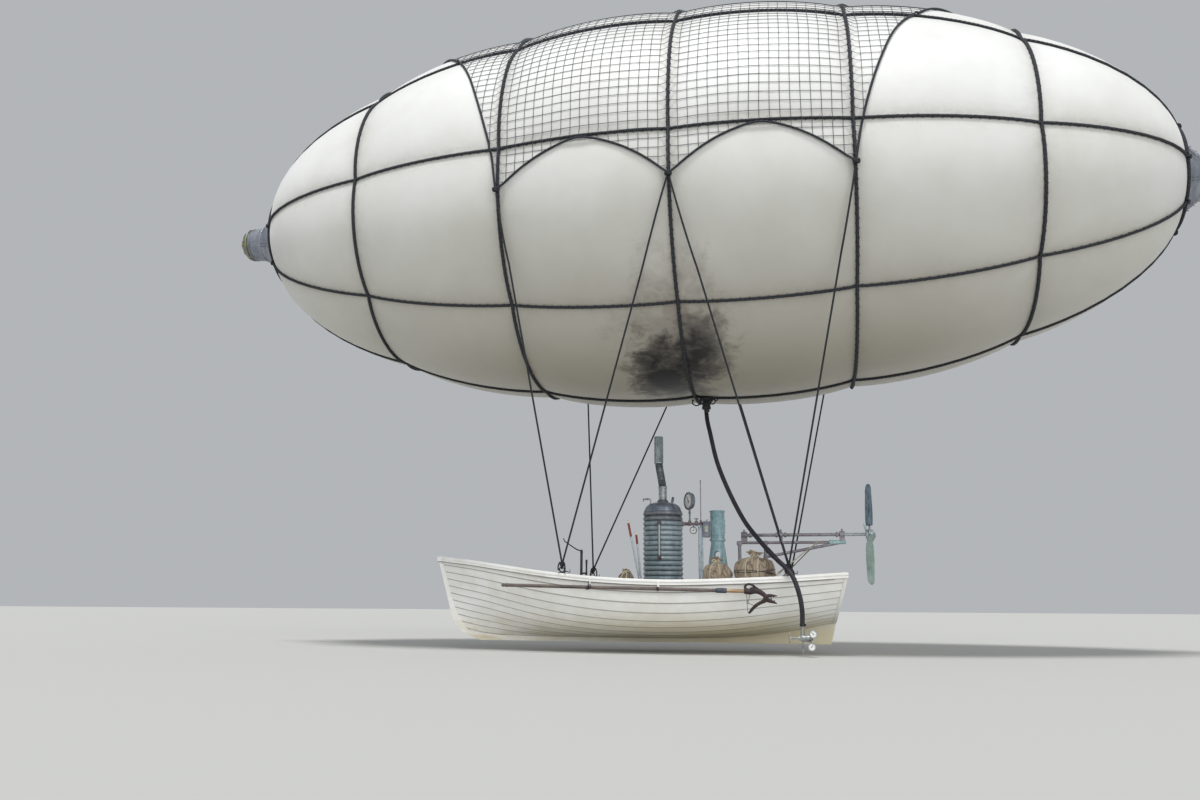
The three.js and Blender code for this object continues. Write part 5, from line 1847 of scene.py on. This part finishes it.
def makeGuy(side, label):
    beam, sheer = sheerAt(drive["guyFrom"])
    foot = point(drive["guyFrom"], side * (beam + 0.002), sheer + 0.0169)
    start, end = foot + zAxis * 0.016, Vector(drive["guyTo"])
    way = (end - start).normalized()
    stop = end - way * 0.0245
    lathe(mm((0, 0), (13, 0), (13, 3), (9, 5), (0, 5)), 20, foot)
    hoop(0.009, 0.0032, 24, 8, toward(foot + zAxis * 0.013, way.cross(zAxis)))
    pipe([start + way * 0.006, start.lerp(end, 0.5), stop], 0.0055, 12)
    a, b = start.lerp(end, 0.06), start.lerp(end, 0.17)
    # turnbuckle: two bosses joined by side bars round the screw
    for place in (a, b):
        lathe(collar(0.01, 0.012, 0.008, 0.005), 20, toward(place, way))
    across = way.cross(zAxis).normalized()
    for s in (-1, 1):
        pipe([a + across * 0.0085 * s, b + across * 0.0085 * s], 0.0034, 8)
    hoop(0.0185, 0.0045, 24, 8, toward(end - way * 0.005, xAxis))
    makePiece(f"guy_rod_{label}", [guyCream], f"guy_{label}")


def makeShaft():
    z = drive["z"]
    lathe(mm((0, 445), (14.5, 445), (16, 446.5), (16, 1413), (0, 1413)), 40, toward((0, 0, z), xAxis), 1)
    rows = mm((0, 1413.5), (15.8, 1413.5), (15.8, 1652), (44, 1652), (46, 1655), (46, 1676), (43, 1680),
        (43, 1682), (82.5, 1682), (84, 1683.5), (84, 1690.5), (82.5, 1692), (43, 1692), (43, 1695),
        (46, 1699), (46, 1719), (44, 1722), (30, 1722), (16, 1722), (16, 1743), (14, 1745), (0, 1745))
    lathe(rows, 72, toward((0, 0, z), xAxis))
    bolt(0.029, 0.014, toward((1.7225, 0, z), xAxis))
    for x in (0.53, 0.79, 0.875, 1.375):
        lathe(mm((15.5, -11), (23, -11), (24.5, -9), (24.5, 9), (23, 11), (15.5, 11)), 32,
            toward((x, 0, z), xAxis), 1)
        bolt(0.0045, 0.003, toward((x, 0, z + 0.0243), zAxis), 1)
    for k in range(4):
        turn = propeller["turn"] + pi * k / 2
        out = point(0, -sin(turn), cos(turn))
        for shift in (-0.012, 0.012):
            across = point(0, cos(turn), sin(turn))
            bolt(0.0062, 0.005, toward(point(1.6925, 0, z) + out * 0.068 + across * shift, xAxis))
    makePiece("drive_shaft_and_hub", [steelRod, boomRust], "propeller_shaft", body="propeller",
        sharp=36)


def makeBlade(number):
    first, last = propeller["sections"][0][0], propeller["sections"][-1][0]
    sections = []
    for k in range(41):
        r = first + (last - first) * (k / 40)
        chord, pitch = fair(propeller["sections"], r, (1, 2))
        if r > last - 0.012:
            chord *= sqrt(max(1 - ((r - last + 0.012) / 0.0124) ** 2, 0.04))
        lean, half, thick = radians(pitch), chord / 2, propeller["thick"] / 2 * (1.15 - 0.5 * k / 40)
        outline = []
        for a in turnsOf(20):
            u, v = half * copysign(abs(cos(a)) ** 0.8, cos(a)), thick * copysign(abs(sin(a)) ** 0.6, sin(a))
            v += 0.05 * (half * half - u * u) / max(half, 1e-4)  # a little camber
            outline.append(point(u * sin(lean) + v * cos(lean), u * cos(lean) - v * sin(lean), r))
        sections.append(outline)
    # the root tab lies on the hub's plate
    turn = propeller["turn"] + pi / 2 * (number - 1)
    spot = Matrix.Translation((propeller["x"], 0, drive["z"])) @ Matrix.Rotation(turn, 4, "X")
    put(loft(sections), 0, spot)
    block((0.0054, -0.029, 0.05), (0.0092, 0.029, 0.094), 0.0015, where=spot)
    # blade 1, at the top, takes the darker copy: painted shade
    makePiece(f"propeller_blade_{number}", [bladeShaded if number == 1 else bladeMint],
        f"blade_{number}", body="propeller", sharp=50)


makeBoom()
makeGuy(-1, "port")
makeGuy(1, "starboard")
makeShaft()
for bladeNumber in (1, 2, 3, 4):
    makeBlade(bladeNumber)
print("stage: engine and drive")


# Sacks: filled burlap bags, blown up a little by a cloth run, then tied at the neck

sacks = {
    "fore": {"at": (0.234, -0.43), "half": (0.149, 0.14), "height": 0.396, "seed": 3,
        "lean": (-0.006, -0.004), "cross": False, "shape": "round"},
    "aft": {"at": (0.583, -0.42), "half": (0.188, 0.165), "height": 0.454, "seed": 8,
        "lean": (0.008, -0.006), "cross": True, "shape": "square"},
    "small": {"at": (-0.656, -0.43), "half": (0.088, 0.1), "height": 0.29, "seed": 5, "lean": (0.004, 0),
        "cross": False, "shape": "round"},
}
burlap = {
    "light": "e8d9c2",
    "dark": "9a8871",
    "small": "b3a899",
    "threads": 0.0036,  # spacing of the threads
    "voxel": 0.006,
    "pressure": 4,
    "maxMove": 0.012,
    "neck": 0.87,  # share of the height where the tie sits
    "lumps": 0.08,
    "pleats": 0.2,
    "round": ((0, 0.74), (0.015, 0.88), (0.06, 0.98), (0.16, 1.02), (0.34, 1.01), (0.5, 0.98),
        (0.63, 0.92), (0.74, 0.83), (0.83, 0.71), (0.9, 0.57), (0.95, 0.42), (0.98, 0.3), (0.992, 0.23),
        (1, 0.19)),
    "square": ((0, 0.74), (0.012, 0.88), (0.05, 0.96), (0.15, 1), (0.35, 1), (0.55, 0.99), (0.7, 0.96),
        (0.8, 0.9), (0.88, 0.79), (0.93, 0.64), (0.965, 0.47), (0.982, 0.34), (0.992, 0.25), (1, 0.19)),
}


def burlapFinish(name, light, dark):
    finish = newFinish(name, 0.95, 0, {"Specular IOR Level": 0.2, "Sheen Weight": 0.3})
    period = tau / (20 * burlap["threads"])
    place = axes()
    round1 = addNode("CombineXYZ", {0: plus(place[0], place[1]), 1: place[2], 2: 0}).outputs[0]
    warp, weft = (threads(round1, period, along, 0.8, 2, {"Detail Scale": 1.5}) for along in "XY")
    weave = times(warp, weft)
    slubs = speckle(90, 4, 0.7, (1, 1, 0.3))
    patches = speckle(12, 5, 0.6)
    tone = ramp(reckon("MULTIPLY_ADD", weave, 0.7, times(slubs, 0.4)), [(0.15, dark), (0.6, light)])
    tone = mixed(ramp(patches, [(0.4, 0), (0.7, 0.4)]), tone, dark)
    # creases run up and down the cloth, with painted shade in them
    crease = reckon("ABSOLUTE", less(speckle(8, 3, 0.5, (1, 1, 0.45), 0.9), 0.5))
    tone = mixed(ramp(crease, [(0, 0.75), (0.035, 0)]), tone, "5d4d3e")
    colourBy(tone)
    dent(ramp(crease, [(0, 0), (0.14, 1)]), 0.012, 0.9)
    dent(weave, 0.0012, 0.9)
    dent(slubs, 0.001, 0.5)
    return finish


tanBurlap = burlapFinish("tanBurlap", burlap["light"], burlap["dark"])
greyBurlap = burlapFinish("greyBurlap", burlap["small"], "76695a")
sackCord = ropeFinish("sackCord", "b3a183", "ebdfc6", 2, 0.016, 0.002)


def sackRows(sack, shrink):
    # rows of one bag from its flat foot to the neck, each a rounded square
    halfX, halfY = (h - shrink for h in sack["half"])
    tall, rows = sack["height"] * burlap["neck"], []
    for share, width in burlap[sack["shape"]]:
        row = []
        square = 3 - share
        pleats = burlap["pleats"] * max(0, (share - 0.3) / 0.7) ** 1.3
        for a in turnsOf(72):
            r = (abs(cos(a)) ** square + abs(sin(a)) ** square) ** (-1 / square)
            lump = noise.noise(around(a, 1.4, share * 2.2 + sack["seed"] * 7))
            lump += 0.7 * noise.noise(around(a, 4, share * 6 + sack["seed"]))
            fold = cos(11 * a + 5 * noise.noise(point(share * 2, sack["seed"], cos(a))))
            r *= width * (1 + burlap["lumps"] * lump * min(1, 4 * share) + pleats * fold)
            x = sack["at"][0] + r * cos(a) * halfX + sack["lean"][0] * share
            y = sack["at"][1] + r * sin(a) * halfY + sack["lean"][1] * share
            sag = 0.012 * lump * share
            row.append(point(x, y, boat["seatTop"] + 0.001 + tall * share + sag))
        rows.append(row)
    return rows


def blowUp(piece, limit):
    # voxel remesh, twenty frames of cloth under pressure, then each point's move is capped
    low = min(v.co.z for v in piece.data.vertices)
    remesh = piece.modifiers.new("even mesh", "REMESH")
    remesh.mode, remesh.voxel_size = "VOXEL", burlap["voxel"]
    settle(piece)
    before = [v.co.copy() for v in piece.data.vertices]
    cloth = piece.modifiers.new("filling", "CLOTH")
    cloth.settings.quality = 5
    cloth.settings.mass = 0.4
    cloth.settings.tension_stiffness = 18
    cloth.settings.compression_stiffness = 12
    cloth.settings.bending_stiffness = 0.6
    cloth.settings.use_pressure = True
    cloth.settings.uniform_pressure_force = burlap["pressure"]
    cloth.settings.effector_weights.gravity = 0
    cloth.collision_settings.use_collision = False
    for frameNumber in range(1, 21):
        bpy.context.scene.frame_set(frameNumber)
    settle(piece)
    bpy.context.scene.frame_set(1)
    for v, start in zip(piece.data.vertices, before):
        step = v.co - start
        if step.length > limit:
            v.co = start + step.normalized() * limit
    for v in piece.data.vertices:
        v.co.z = max(v.co.z, low)  # flat where it rests
    fine = piece.modifiers.new("finer", "SUBSURF")
    fine.levels = fine.render_levels = 1
    settle(piece)
    piece.data.shade_smooth()


def settle(piece):
    # turns the piece's modifiers into its mesh
    ready = piece.evaluated_get(bpy.context.evaluated_depsgraph_get())
    mesh = bpy.data.meshes.new_from_object(ready)
    piece.modifiers.clear()
    old, piece.data = piece.data, mesh
    bpy.data.meshes.remove(old)


def topAt(piece, x, y):
    # where a ray straight down meets the bag's cloth
    hit, place = piece.ray_cast(point(x, y, -3.4), -zAxis)[:2]
    return place if hit else point(x, y, boat["seatTop"])


def surfaceAt(piece, centre, turn, height):
    # where a level ray from the bag's middle meets its cloth
    start = point(centre[0], centre[1], height)
    way = around(turn)
    hit, place = piece.ray_cast(start + way * 0.6, -way)[:2]
    return place if hit else start + way * 0.03


def makeSack(name, sack):
    cloth = greyBurlap if name == "small" else tanBurlap
    put(loft(sackRows(sack, 0.01)))
    bag = makePiece(f"burlap_sack_{name}", [cloth], f"sack_{name}", sharp=180)
    blowUp(bag, burlap["maxMove"])
    bag.data.materials.clear()
    bag.data.materials.append(cloth)

    # gathered mouth above the tie
    height, seed = sack["height"], sack["seed"]
    x, y = sack["at"][0] + sack["lean"][0], sack["at"][1] + sack["lean"][1]
    neckZ = boat["seatTop"] + height * burlap["neck"]
    spread = min(sack["half"])
    mouth = []
    for side in (1, -1):
        ordered = range(9) if side > 0 else range(8, -1, -1)
        for k in ordered:
            t = k / 8
            wide = spread * (0.19 + 0.24 * t ** 1.2)
            row = []
            for a in turnsOf(96):
                ruffle = 1 + (0.08 + 0.13 * t) * cos(7 * a + seed) + 0.08 * t * sin(12 * a + 2 * seed)
                r = wide * ruffle - (0.0025 if side < 0 else 0)
                ragged = (0.022 * noise.noise(around(a, 1.2, seed)) - 0.016 * t * (1 + cos(a - 0.9))) * t
                row.append(point(x + r * cos(a), y + r * sin(a),
                    neckZ - 0.012 + (height * (1 - burlap["neck"]) - 0.002) * t + ragged))
            mouth.append(row)
    put(loft(mouth, wrap=True))
    mouthPiece = makePiece(f"sack_mouth_{name}", [cloth], sharp=180)

    for k in range(4):
        lean = point(0.12 * sin(2.3 * k + seed), 0.12 * cos(1.9 * k + seed), 1)
        hoop(spread * 0.21 + 0.002 * (k % 2), 0.0048, 40, 8, toward((x, y, neckZ - 0.006 + 0.006 * k), lean))
    # bow on the front and two tails down the cloth
    front = -pi / 2 - 0.1
    knot = point(x + cos(front) * spread * 0.22, y + sin(front) * spread * 0.22, neckZ + 0.004)
    knob(0.0085, 14, knot)
    for side in (-1, 1):
        tail, turn = [knot], front
        for share in (0.3, 0.42, 0.56, 0.7, 0.84):
            turn += side * (0.1 if share < 0.6 else 0.02)
            place = topAt(bag, x + cos(turn) * share * sack["half"][0],
                y + sin(turn) * share * sack["half"][1])
            tail.append(place + around(turn, 0.3, 1) * 0.0036)
        for share in (0.66, 0.58, 0.5, 0.43) if side < 0 else (0.66, 0.58, 0.52):
            place = surfaceAt(bag, sack["at"], turn, boat["seatTop"] + height * share)
            tail.append(place + around(turn, 1, 0.3) * 0.0042)
        pipe(curveThrough(tail, 4), 0.0054, 8)
        loop = [knot, knot + point(side * 0.018, -0.01, 0.012),
            knot + point(side * 0.036, -0.016, -0.002), knot + point(side * 0.022, -0.013, -0.012), knot]
        pipe(curveThrough(loop, 5), 0.0048, 7)
    if sack["cross"]:
        # a lashing round the bag, just under its shoulder
        for share, tilt in ((0.56, 0.05), (0.5, -0.06)):
            girthLine = []
            for a in turnsOf(72):
                level = boat["seatTop"] + height * (share + tilt * sin(a + 0.6))
                place = surfaceAt(bag, sack["at"], a, level)
                girthLine.append(place + around(a) * 0.003)
            pipe(girthLine, 0.0032, 7, 1, closed=True, ups=[zAxis] * 72)
    makePiece(f"sack_cord_{name}", [sackCord, netTwine], sharp=80)


for sackName in sacks:
    makeSack(sackName, sacks[sackName])
print("stage: sacks")


# Small gear: loose poles, davit, boat hook with its grapple and brackets, belly fitting

gear = {
    # y, foot x, top x and z, painted length
    "poles": {"fore": (-0.385, -0.441, -0.648, -3.321, 0.17),
        "aft": (-0.35, -0.472, -0.571, -3.439, 0.12)},
    "poleRadius": 0.0115,
    "davit": (-1.132, -0.3),
    "spar": {"y": -0.838, "z": -3.968, "radius": 0.0148, "from": -1.791, "to": 0.528, "drop": 0.052},
    "brackets": {"fore": -0.941, "aft": -0.284},
}


def makePoles():
    for name, (y, footX, topX, topZ, painted) in gear["poles"].items():
        top, foot = point(topX, y, topZ), point(footX, y, boat["floorTop"] + 0.002)
        r, long = gear["poleRadius"], (top - foot).length
        red = 1 - painted / long
        pipe([foot.lerp(top, s) for s in (0, 0.3, 0.6, red, red + 0.004)], 0, 16,
            radii=[r * 0.85, r * 0.92, r * 0.92, r * 0.9, r * 0.8])
        pipe([foot.lerp(top, s) for s in (red, red + 0.01, 0.96, 0.972)], 0, 16, 1,
            radii=[r * 0.94, r, r, r * 0.8])
        pipe([foot.lerp(top, s) for s in (0.968, 0.975, 0.992, 1)], 0, 16, 3,
            radii=[r * 0.9, r * 0.96, r * 0.9, r * 0.5])
        lathe([(0, 0), (r * 0.98, 0.001), (r * 1.02, 0.03), (r * 0.92, 0.034), (0, 0.034)], 18,
            toward(foot, top - foot), 2)
        makePiece(f"sounding_pole_{name}", [poleGrey, redPaint, rustyIron, whiteKnob],
            f"pole_{name}")


def makeDavit():
    x, y = gear["davit"]
    low = boat["floorTop"] + 0.0003
    flanged((x, y, low + 0.006), zAxis, 0.04, 0.012, 4)
    pipe([(x, y, low + 0.01), (x, y, -3.9), (x, y, -3.66), (x, y, -3.615), (x, y, -3.607)], 0, 18,
        radii=[0.0125, 0.0125, 0.0125, 0.012, 0.009])
    arm = curveThrough([(x + 0.002, y, -3.62), (x - 0.049, y, -3.604), (x - 0.102, y, -3.571),
        (x - 0.15, y, -3.538), (x - 0.174, y, -3.523), (x - 0.188, y, -3.492)], 5)
    pipe(arm, 0, 14, radii=[0.0068 - 0.0022 * i / (len(arm) - 1) for i in range(len(arm))])
    lathe(mm((10, -12), (13.5, -12), (14, 0), (13.5, 12), (10, 12)), 24, (x, y, -3.63))
    # short belaying pin on an arm beside the post
    pipe([(x - 0.008, y, -3.84), (x + 0.058, y, -3.84)], 0.0085, 12)
    pin = mm((0, -3860), (9, -3860), (10.5, -3850), (10.5, -3830), (8.5, -3820), (8.5, -3760),
        (10.5, -3730), (11.5, -3712), (8, -3706), (0, -3705))
    lathe(pin, 18, (x + 0.052, y, 0))
    lathe(mm((8, -3848), (14.5, -3848), (14.5, -3832), (8, -3832)), 22, (x, y, 0))
    makePiece("davit_post", [blackIron], "davit")


def makeBoathook():
    spar = gear["spar"]
    y, z = spar["y"], spar["z"]

    def sparAt(x):
        return point(x, y, z - spar["drop"] * (x - spar["from"]) / (spar["to"] - spar["from"]))

    xs = [spar["from"] + 0.0002, spar["from"] + 0.006, -1.4, -0.9, -0.4, 0, 0.245]
    pipe([sparAt(x) for x in xs], 0, 20, radii=[0.0125, 0.016, 0.0162, 0.0162, 0.016, 0.016, 0.016])
    pipe([sparAt(x) for x in (0.345, 0.36, 0.42, 0.5, spar["to"] - 0.001)], 0, 20, 1,
        radii=[0.0165, 0.0175, 0.0178, 0.0175, 0.017])
    # the leather sleeve, stitched along its side
    sleeve = mm((0, 0), (16, 0), (20, 6), (22.5, 20), (23.5, 50), (23.5, 85), (22.5, 100), (20.5, 108),
        (17, 110), (0, 110))
    base = toward(sparAt(0.242), sparAt(0.35) - sparAt(0.242), zAxis)
    lathe(sleeve, 32, base, 2)
    for k in range(7):
        pipe(mm((3, -22.6, 0), (0, -24.4, 3), (-3, -22.6, 6)), 0.0011, 6, 3,
            where=base @ Matrix.Translation((0, 0, 0.022 + 0.011 * k)))
    for x in (-1.74, -0.02, 0.225):
        lathe(mm((14, -6), (17.4, -6), (18.2, 0), (17.4, 6), (14, 6)), 28, toward(sparAt(x), xAxis), 4)
    makePiece("boathook_shaft", [poleWood, paleWood, sleeveLeather, sackCord, rustyIron],
        "boathook_pole", sharp=50)

    for name, x in gear["brackets"].items():
        beam, sheer = sheerAt(x)
        face, centre = -(beam + 0.034 + 0.0008), sparAt(x)
        r = spar["radius"] + 0.0035
        strap = [point(x, face - 0.002, sheer - 0.004), point(x, face - 0.002, sheer - 0.05),
            point(x, face - 0.003, centre.z + 0.02), point(x, face - 0.008, centre.z - 0.012)]
        strap += [centre + point(0, cos(a) * r, sin(a) * r)
            for a in (radians(d) for d in range(-40, -200, -20))]
        strap += [centre + point(0, -r - 0.001, 0.012), centre + point(0, -r - 0.004, 0.018)]
        sections = []
        for i, p in enumerate(strap):
            ahead = (strap[min(i + 1, len(strap) - 1)] - strap[max(i - 1, 0)]).normalized()
            across = ahead.cross(xAxis)
            wide, thick = 0.01, 0.0016
            if name == "fore" and 1 <= i <= 2:
                wide = 0.006
            sections.append([p + xAxis * (wide * sx) + across * (thick * st) for sx,
                st in ((-1, -1), (1, -1), (1, 1), (-1, 1))])
        put(rounded(loft(sections[:4]), 0.0008, 1, 50), 1)
        put(rounded(loft(sections[3:]), 0.0008, 1, 50))
        for drop in (0.012, 0.04):
            lathe(mm((5, -2), (4.8, 1), (0, 2.8)), 12,
                toward((x, face - 0.0035, sheer - drop), (0, -1, 0)), 1)
        if name == "fore":
            # a ring through which the shaft is turned, with a twisted eye on top
            hoop(0.0205, 0.0042, 30, 8, toward(centre, xAxis))
            curl = mm((12, 28), (24, 16), (22, -4), (4, -16), (-16, -20), (-24, -10), (-18, 2))
            pipe(curveThrough([centre + point(along, -0.024, up) for along, up in curl], 5), 0.0042, 8)
            eyeLine = [centre + point(0.004 * sin(t * 9), -0.004, 0.018 + 0.02 * t)
                for t in (0, 0.25, 0.5, 0.75, 1)]
            pipe(eyeLine, 0.003, 8)
            hoop(0.0085, 0.0026, 22, 7, toward(centre + point(0, -0.004, 0.044), (0.5, 1, 0)))
        makePiece(f"shaft_bracket_{name}", [blackIron, trimPaint], f"pole_bracket_{name}")


def limb(points, radii, mark=0, flat=0.75):
    # a forged arm in mm: a smooth line with its own thickness at each point, flatter across the boat
    line = curveThrough([point(x, gear["spar"]["y"], z) for x, z in mm(*points)], 5)
    count = len(points) - 1
    sizes = []
    for i in range(len(line)):
        k, t = min(i // 5, count - 1), (i / 5) - min(i // 5, count - 1)
        sizes.append((radii[k] + (radii[k + 1] - radii[k]) * t) / 1000)
    lumps = [s * (1 + 0.06 * noise.noise(p * 60)) for s, p in zip(sizes, line)]
    pipe(line, 0, 12, mark=mark, radii=lumps, flat=flat,
        ups=[zAxis if i < 1 else (line[i] - line[i - 1]).cross(yAxis) for i in range(len(line))])


def makeGrapple():
    y = gear["spar"]["y"]
    lathe(mm((16.5, 0), (22.5, 0), (25.5, 4), (26.5, 20), (26.5, 30), (23.5, 34), (23.5, 44), (26.5, 48),
        (23, 62), (0, 70)), 28, toward((0.5085, y, -4.0195), (1, 0, -0.022)))
    limb([(548, -4024), (578, -4024), (612, -4016), (650, -4028), (686, -4052), (710, -4080)],
        [20, 23, 27, 23, 20, 24], flat=0.55)
    limb([(700, -4064), (742, -4058), (776, -4060), (804, -4061)], [19, 15, 9.5, 4])
    limb([(700, -4094), (738, -4106), (770, -4118), (799, -4130)], [21, 18, 12, 4.5])
    limb([(704, -4098), (656, -4121), (612, -4147), (574, -4184), (546, -4218)], [22, 15.5, 14.5, 14.5, 8.5])
    limb([(522, -4002), (517, -3982), (530, -3963), (556, -3956), (584, -3966), (606, -3986),
        (632, -4006)], [12, 11.5, 10.5, 10, 10.5, 12.5, 15])
    limb([(575, -4036), (560, -4040), (540, -4040), (520, -4036)], [13, 11, 8, 5])
    # teeth inside the jaws, pivots with their nuts
    for x, z in ((0.748, -4.074), (0.772, -4.071), (0.75, -4.09), (0.776, -4.105)):
        lathe(mm((5.5, -4), (4, 4), (0, 9)), 8, toward((x, y, z), (0, 0, -1 if z > -4.08 else 1)))
    for x, z, r in ((0.702, -4.082, 0.0245), (0.58, -4.006, 0.022), (0.614, -4.147, 0.0165)):
        lathe([(0, -0.018), (r * 0.9, -0.018), (r, -0.015), (r, 0.015), (r * 0.9, 0.018), (0, 0.018)], 26,
            toward((x, y, z), yAxis))
        bolt(r * 0.5, 0.005, toward((x, y - 0.0175, z), (0, -1, 0)))
    # thin wires that work the jaws, and the ring that gathers them
    for path in (((0.53, -0.02, -4.034), (0.533, -0.021, -4.08), (0.536, -0.02, -4.118)),
            ((0.536, -0.02, -4.128), (0.534, -0.018, -4.17), (0.54, -0.014, -4.212)),
            ((0.56, -0.018, -4.04), (0.552, -0.02, -4.085), (0.54, -0.02, -4.118)),
            ((0.54, -0.02, -4.126), (0.575, -0.018, -4.14), (0.612, -0.018, -4.147))):
        pipe(curveThrough([(x, y + out, z) for x, out, z in path], 6), 0.0022, 8)
    hoop(0.009, 0.0024, 26, 8, toward((0.537, y - 0.02, -4.123), (0.3, 1, 0.1)))
    makePiece("grapple_jaws", [darkIron], "grapple", sharp=45)


def makeBellyFitting():
    # the flange lies along the bottom seam rope, the neck hangs straight down
    low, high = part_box("belly_fitting")
    axis = (skinPoint(angleAlong(0.2), -pi / 2) - skinPoint(angleAlong(0.02), -pi / 2)).normalized()
    down = point(axis.z, 0, -axis.x)
    middle = point(0.112, 0, (low[2] + high[2]) / 2 + 0.04)
    lathe(mm((0, -16), (68, -16), (70, -13), (70, 10), (66, 14), (52, 16), (0, 16)), 40, toward(middle, down))
    for turn in turnsOf(8, 0.5):
        bolt(0.0072, 0.006, toward(middle, down) @ Matrix.Translation(around(turn, 0.06, 0.014)))
    neck = [(0, -2.156), (0.04, -2.156), (0.045, -2.153), (0.046, -2.149), (0.046, -2.132),
        (0.042, -2.128), (0.042, -2.11), (0.046, -2.106), (0.046, -2.094), (0.04, -2.088),
        (0.04, middle.z), (0, middle.z)]
    lathe(neck, 36, (0.112, 0, 0))
    makePiece("belly_gland", [bellyIron], "belly_fitting", sharp=40)

    # small loops of rope that hang from the seam round the gland
    for x, turn, wide, drop in ((0, -93, 0.075, 0.06), (0.048, -88.4, 0.044, 0.048),
            (0.172, -91.5, 0.04, 0.05), (0.215, -88, 0.03, 0.036)):
        a = skinPoint(angleAlong(x - wide / 2), radians(turn), 0.012)
        b = skinPoint(angleAlong(x + wide / 2), radians(turn), 0.012)
        foot = (a + b) / 2 - zAxis * drop
        path = [a, a - zAxis * drop * 0.6 - xAxis * 0.006, foot, b - zAxis * drop * 0.6 + xAxis * 0.006, b]
        pipe(curveThrough(path, 7), 0.0065, 8)
        for p in (a, b):
            knob(0.011, 12, p - zAxis * 0.002)
    makePiece("belly_rope_loops", [tarredRope], sharp=80)


def leatherFinish():
    finish = newFinish("sleeveLeather", 0.6)
    cloudy = speckle(30, 6, 0.65)
    colourBy(ramp(cloudy, [(0.3, "2a3038"), (0.7, "525b66")]))
    cells = addNode("TexVoronoi", {"Vector": whereOf(), "Scale": 380}).outputs["Distance"]
    dent(cells, 0.0008, 0.6)
    return finish


sleeveLeather = leatherFinish()
makePoles()
makeDavit()
makeBoathook()
makeGrapple()
makeBellyFitting()
print("stage: gear")
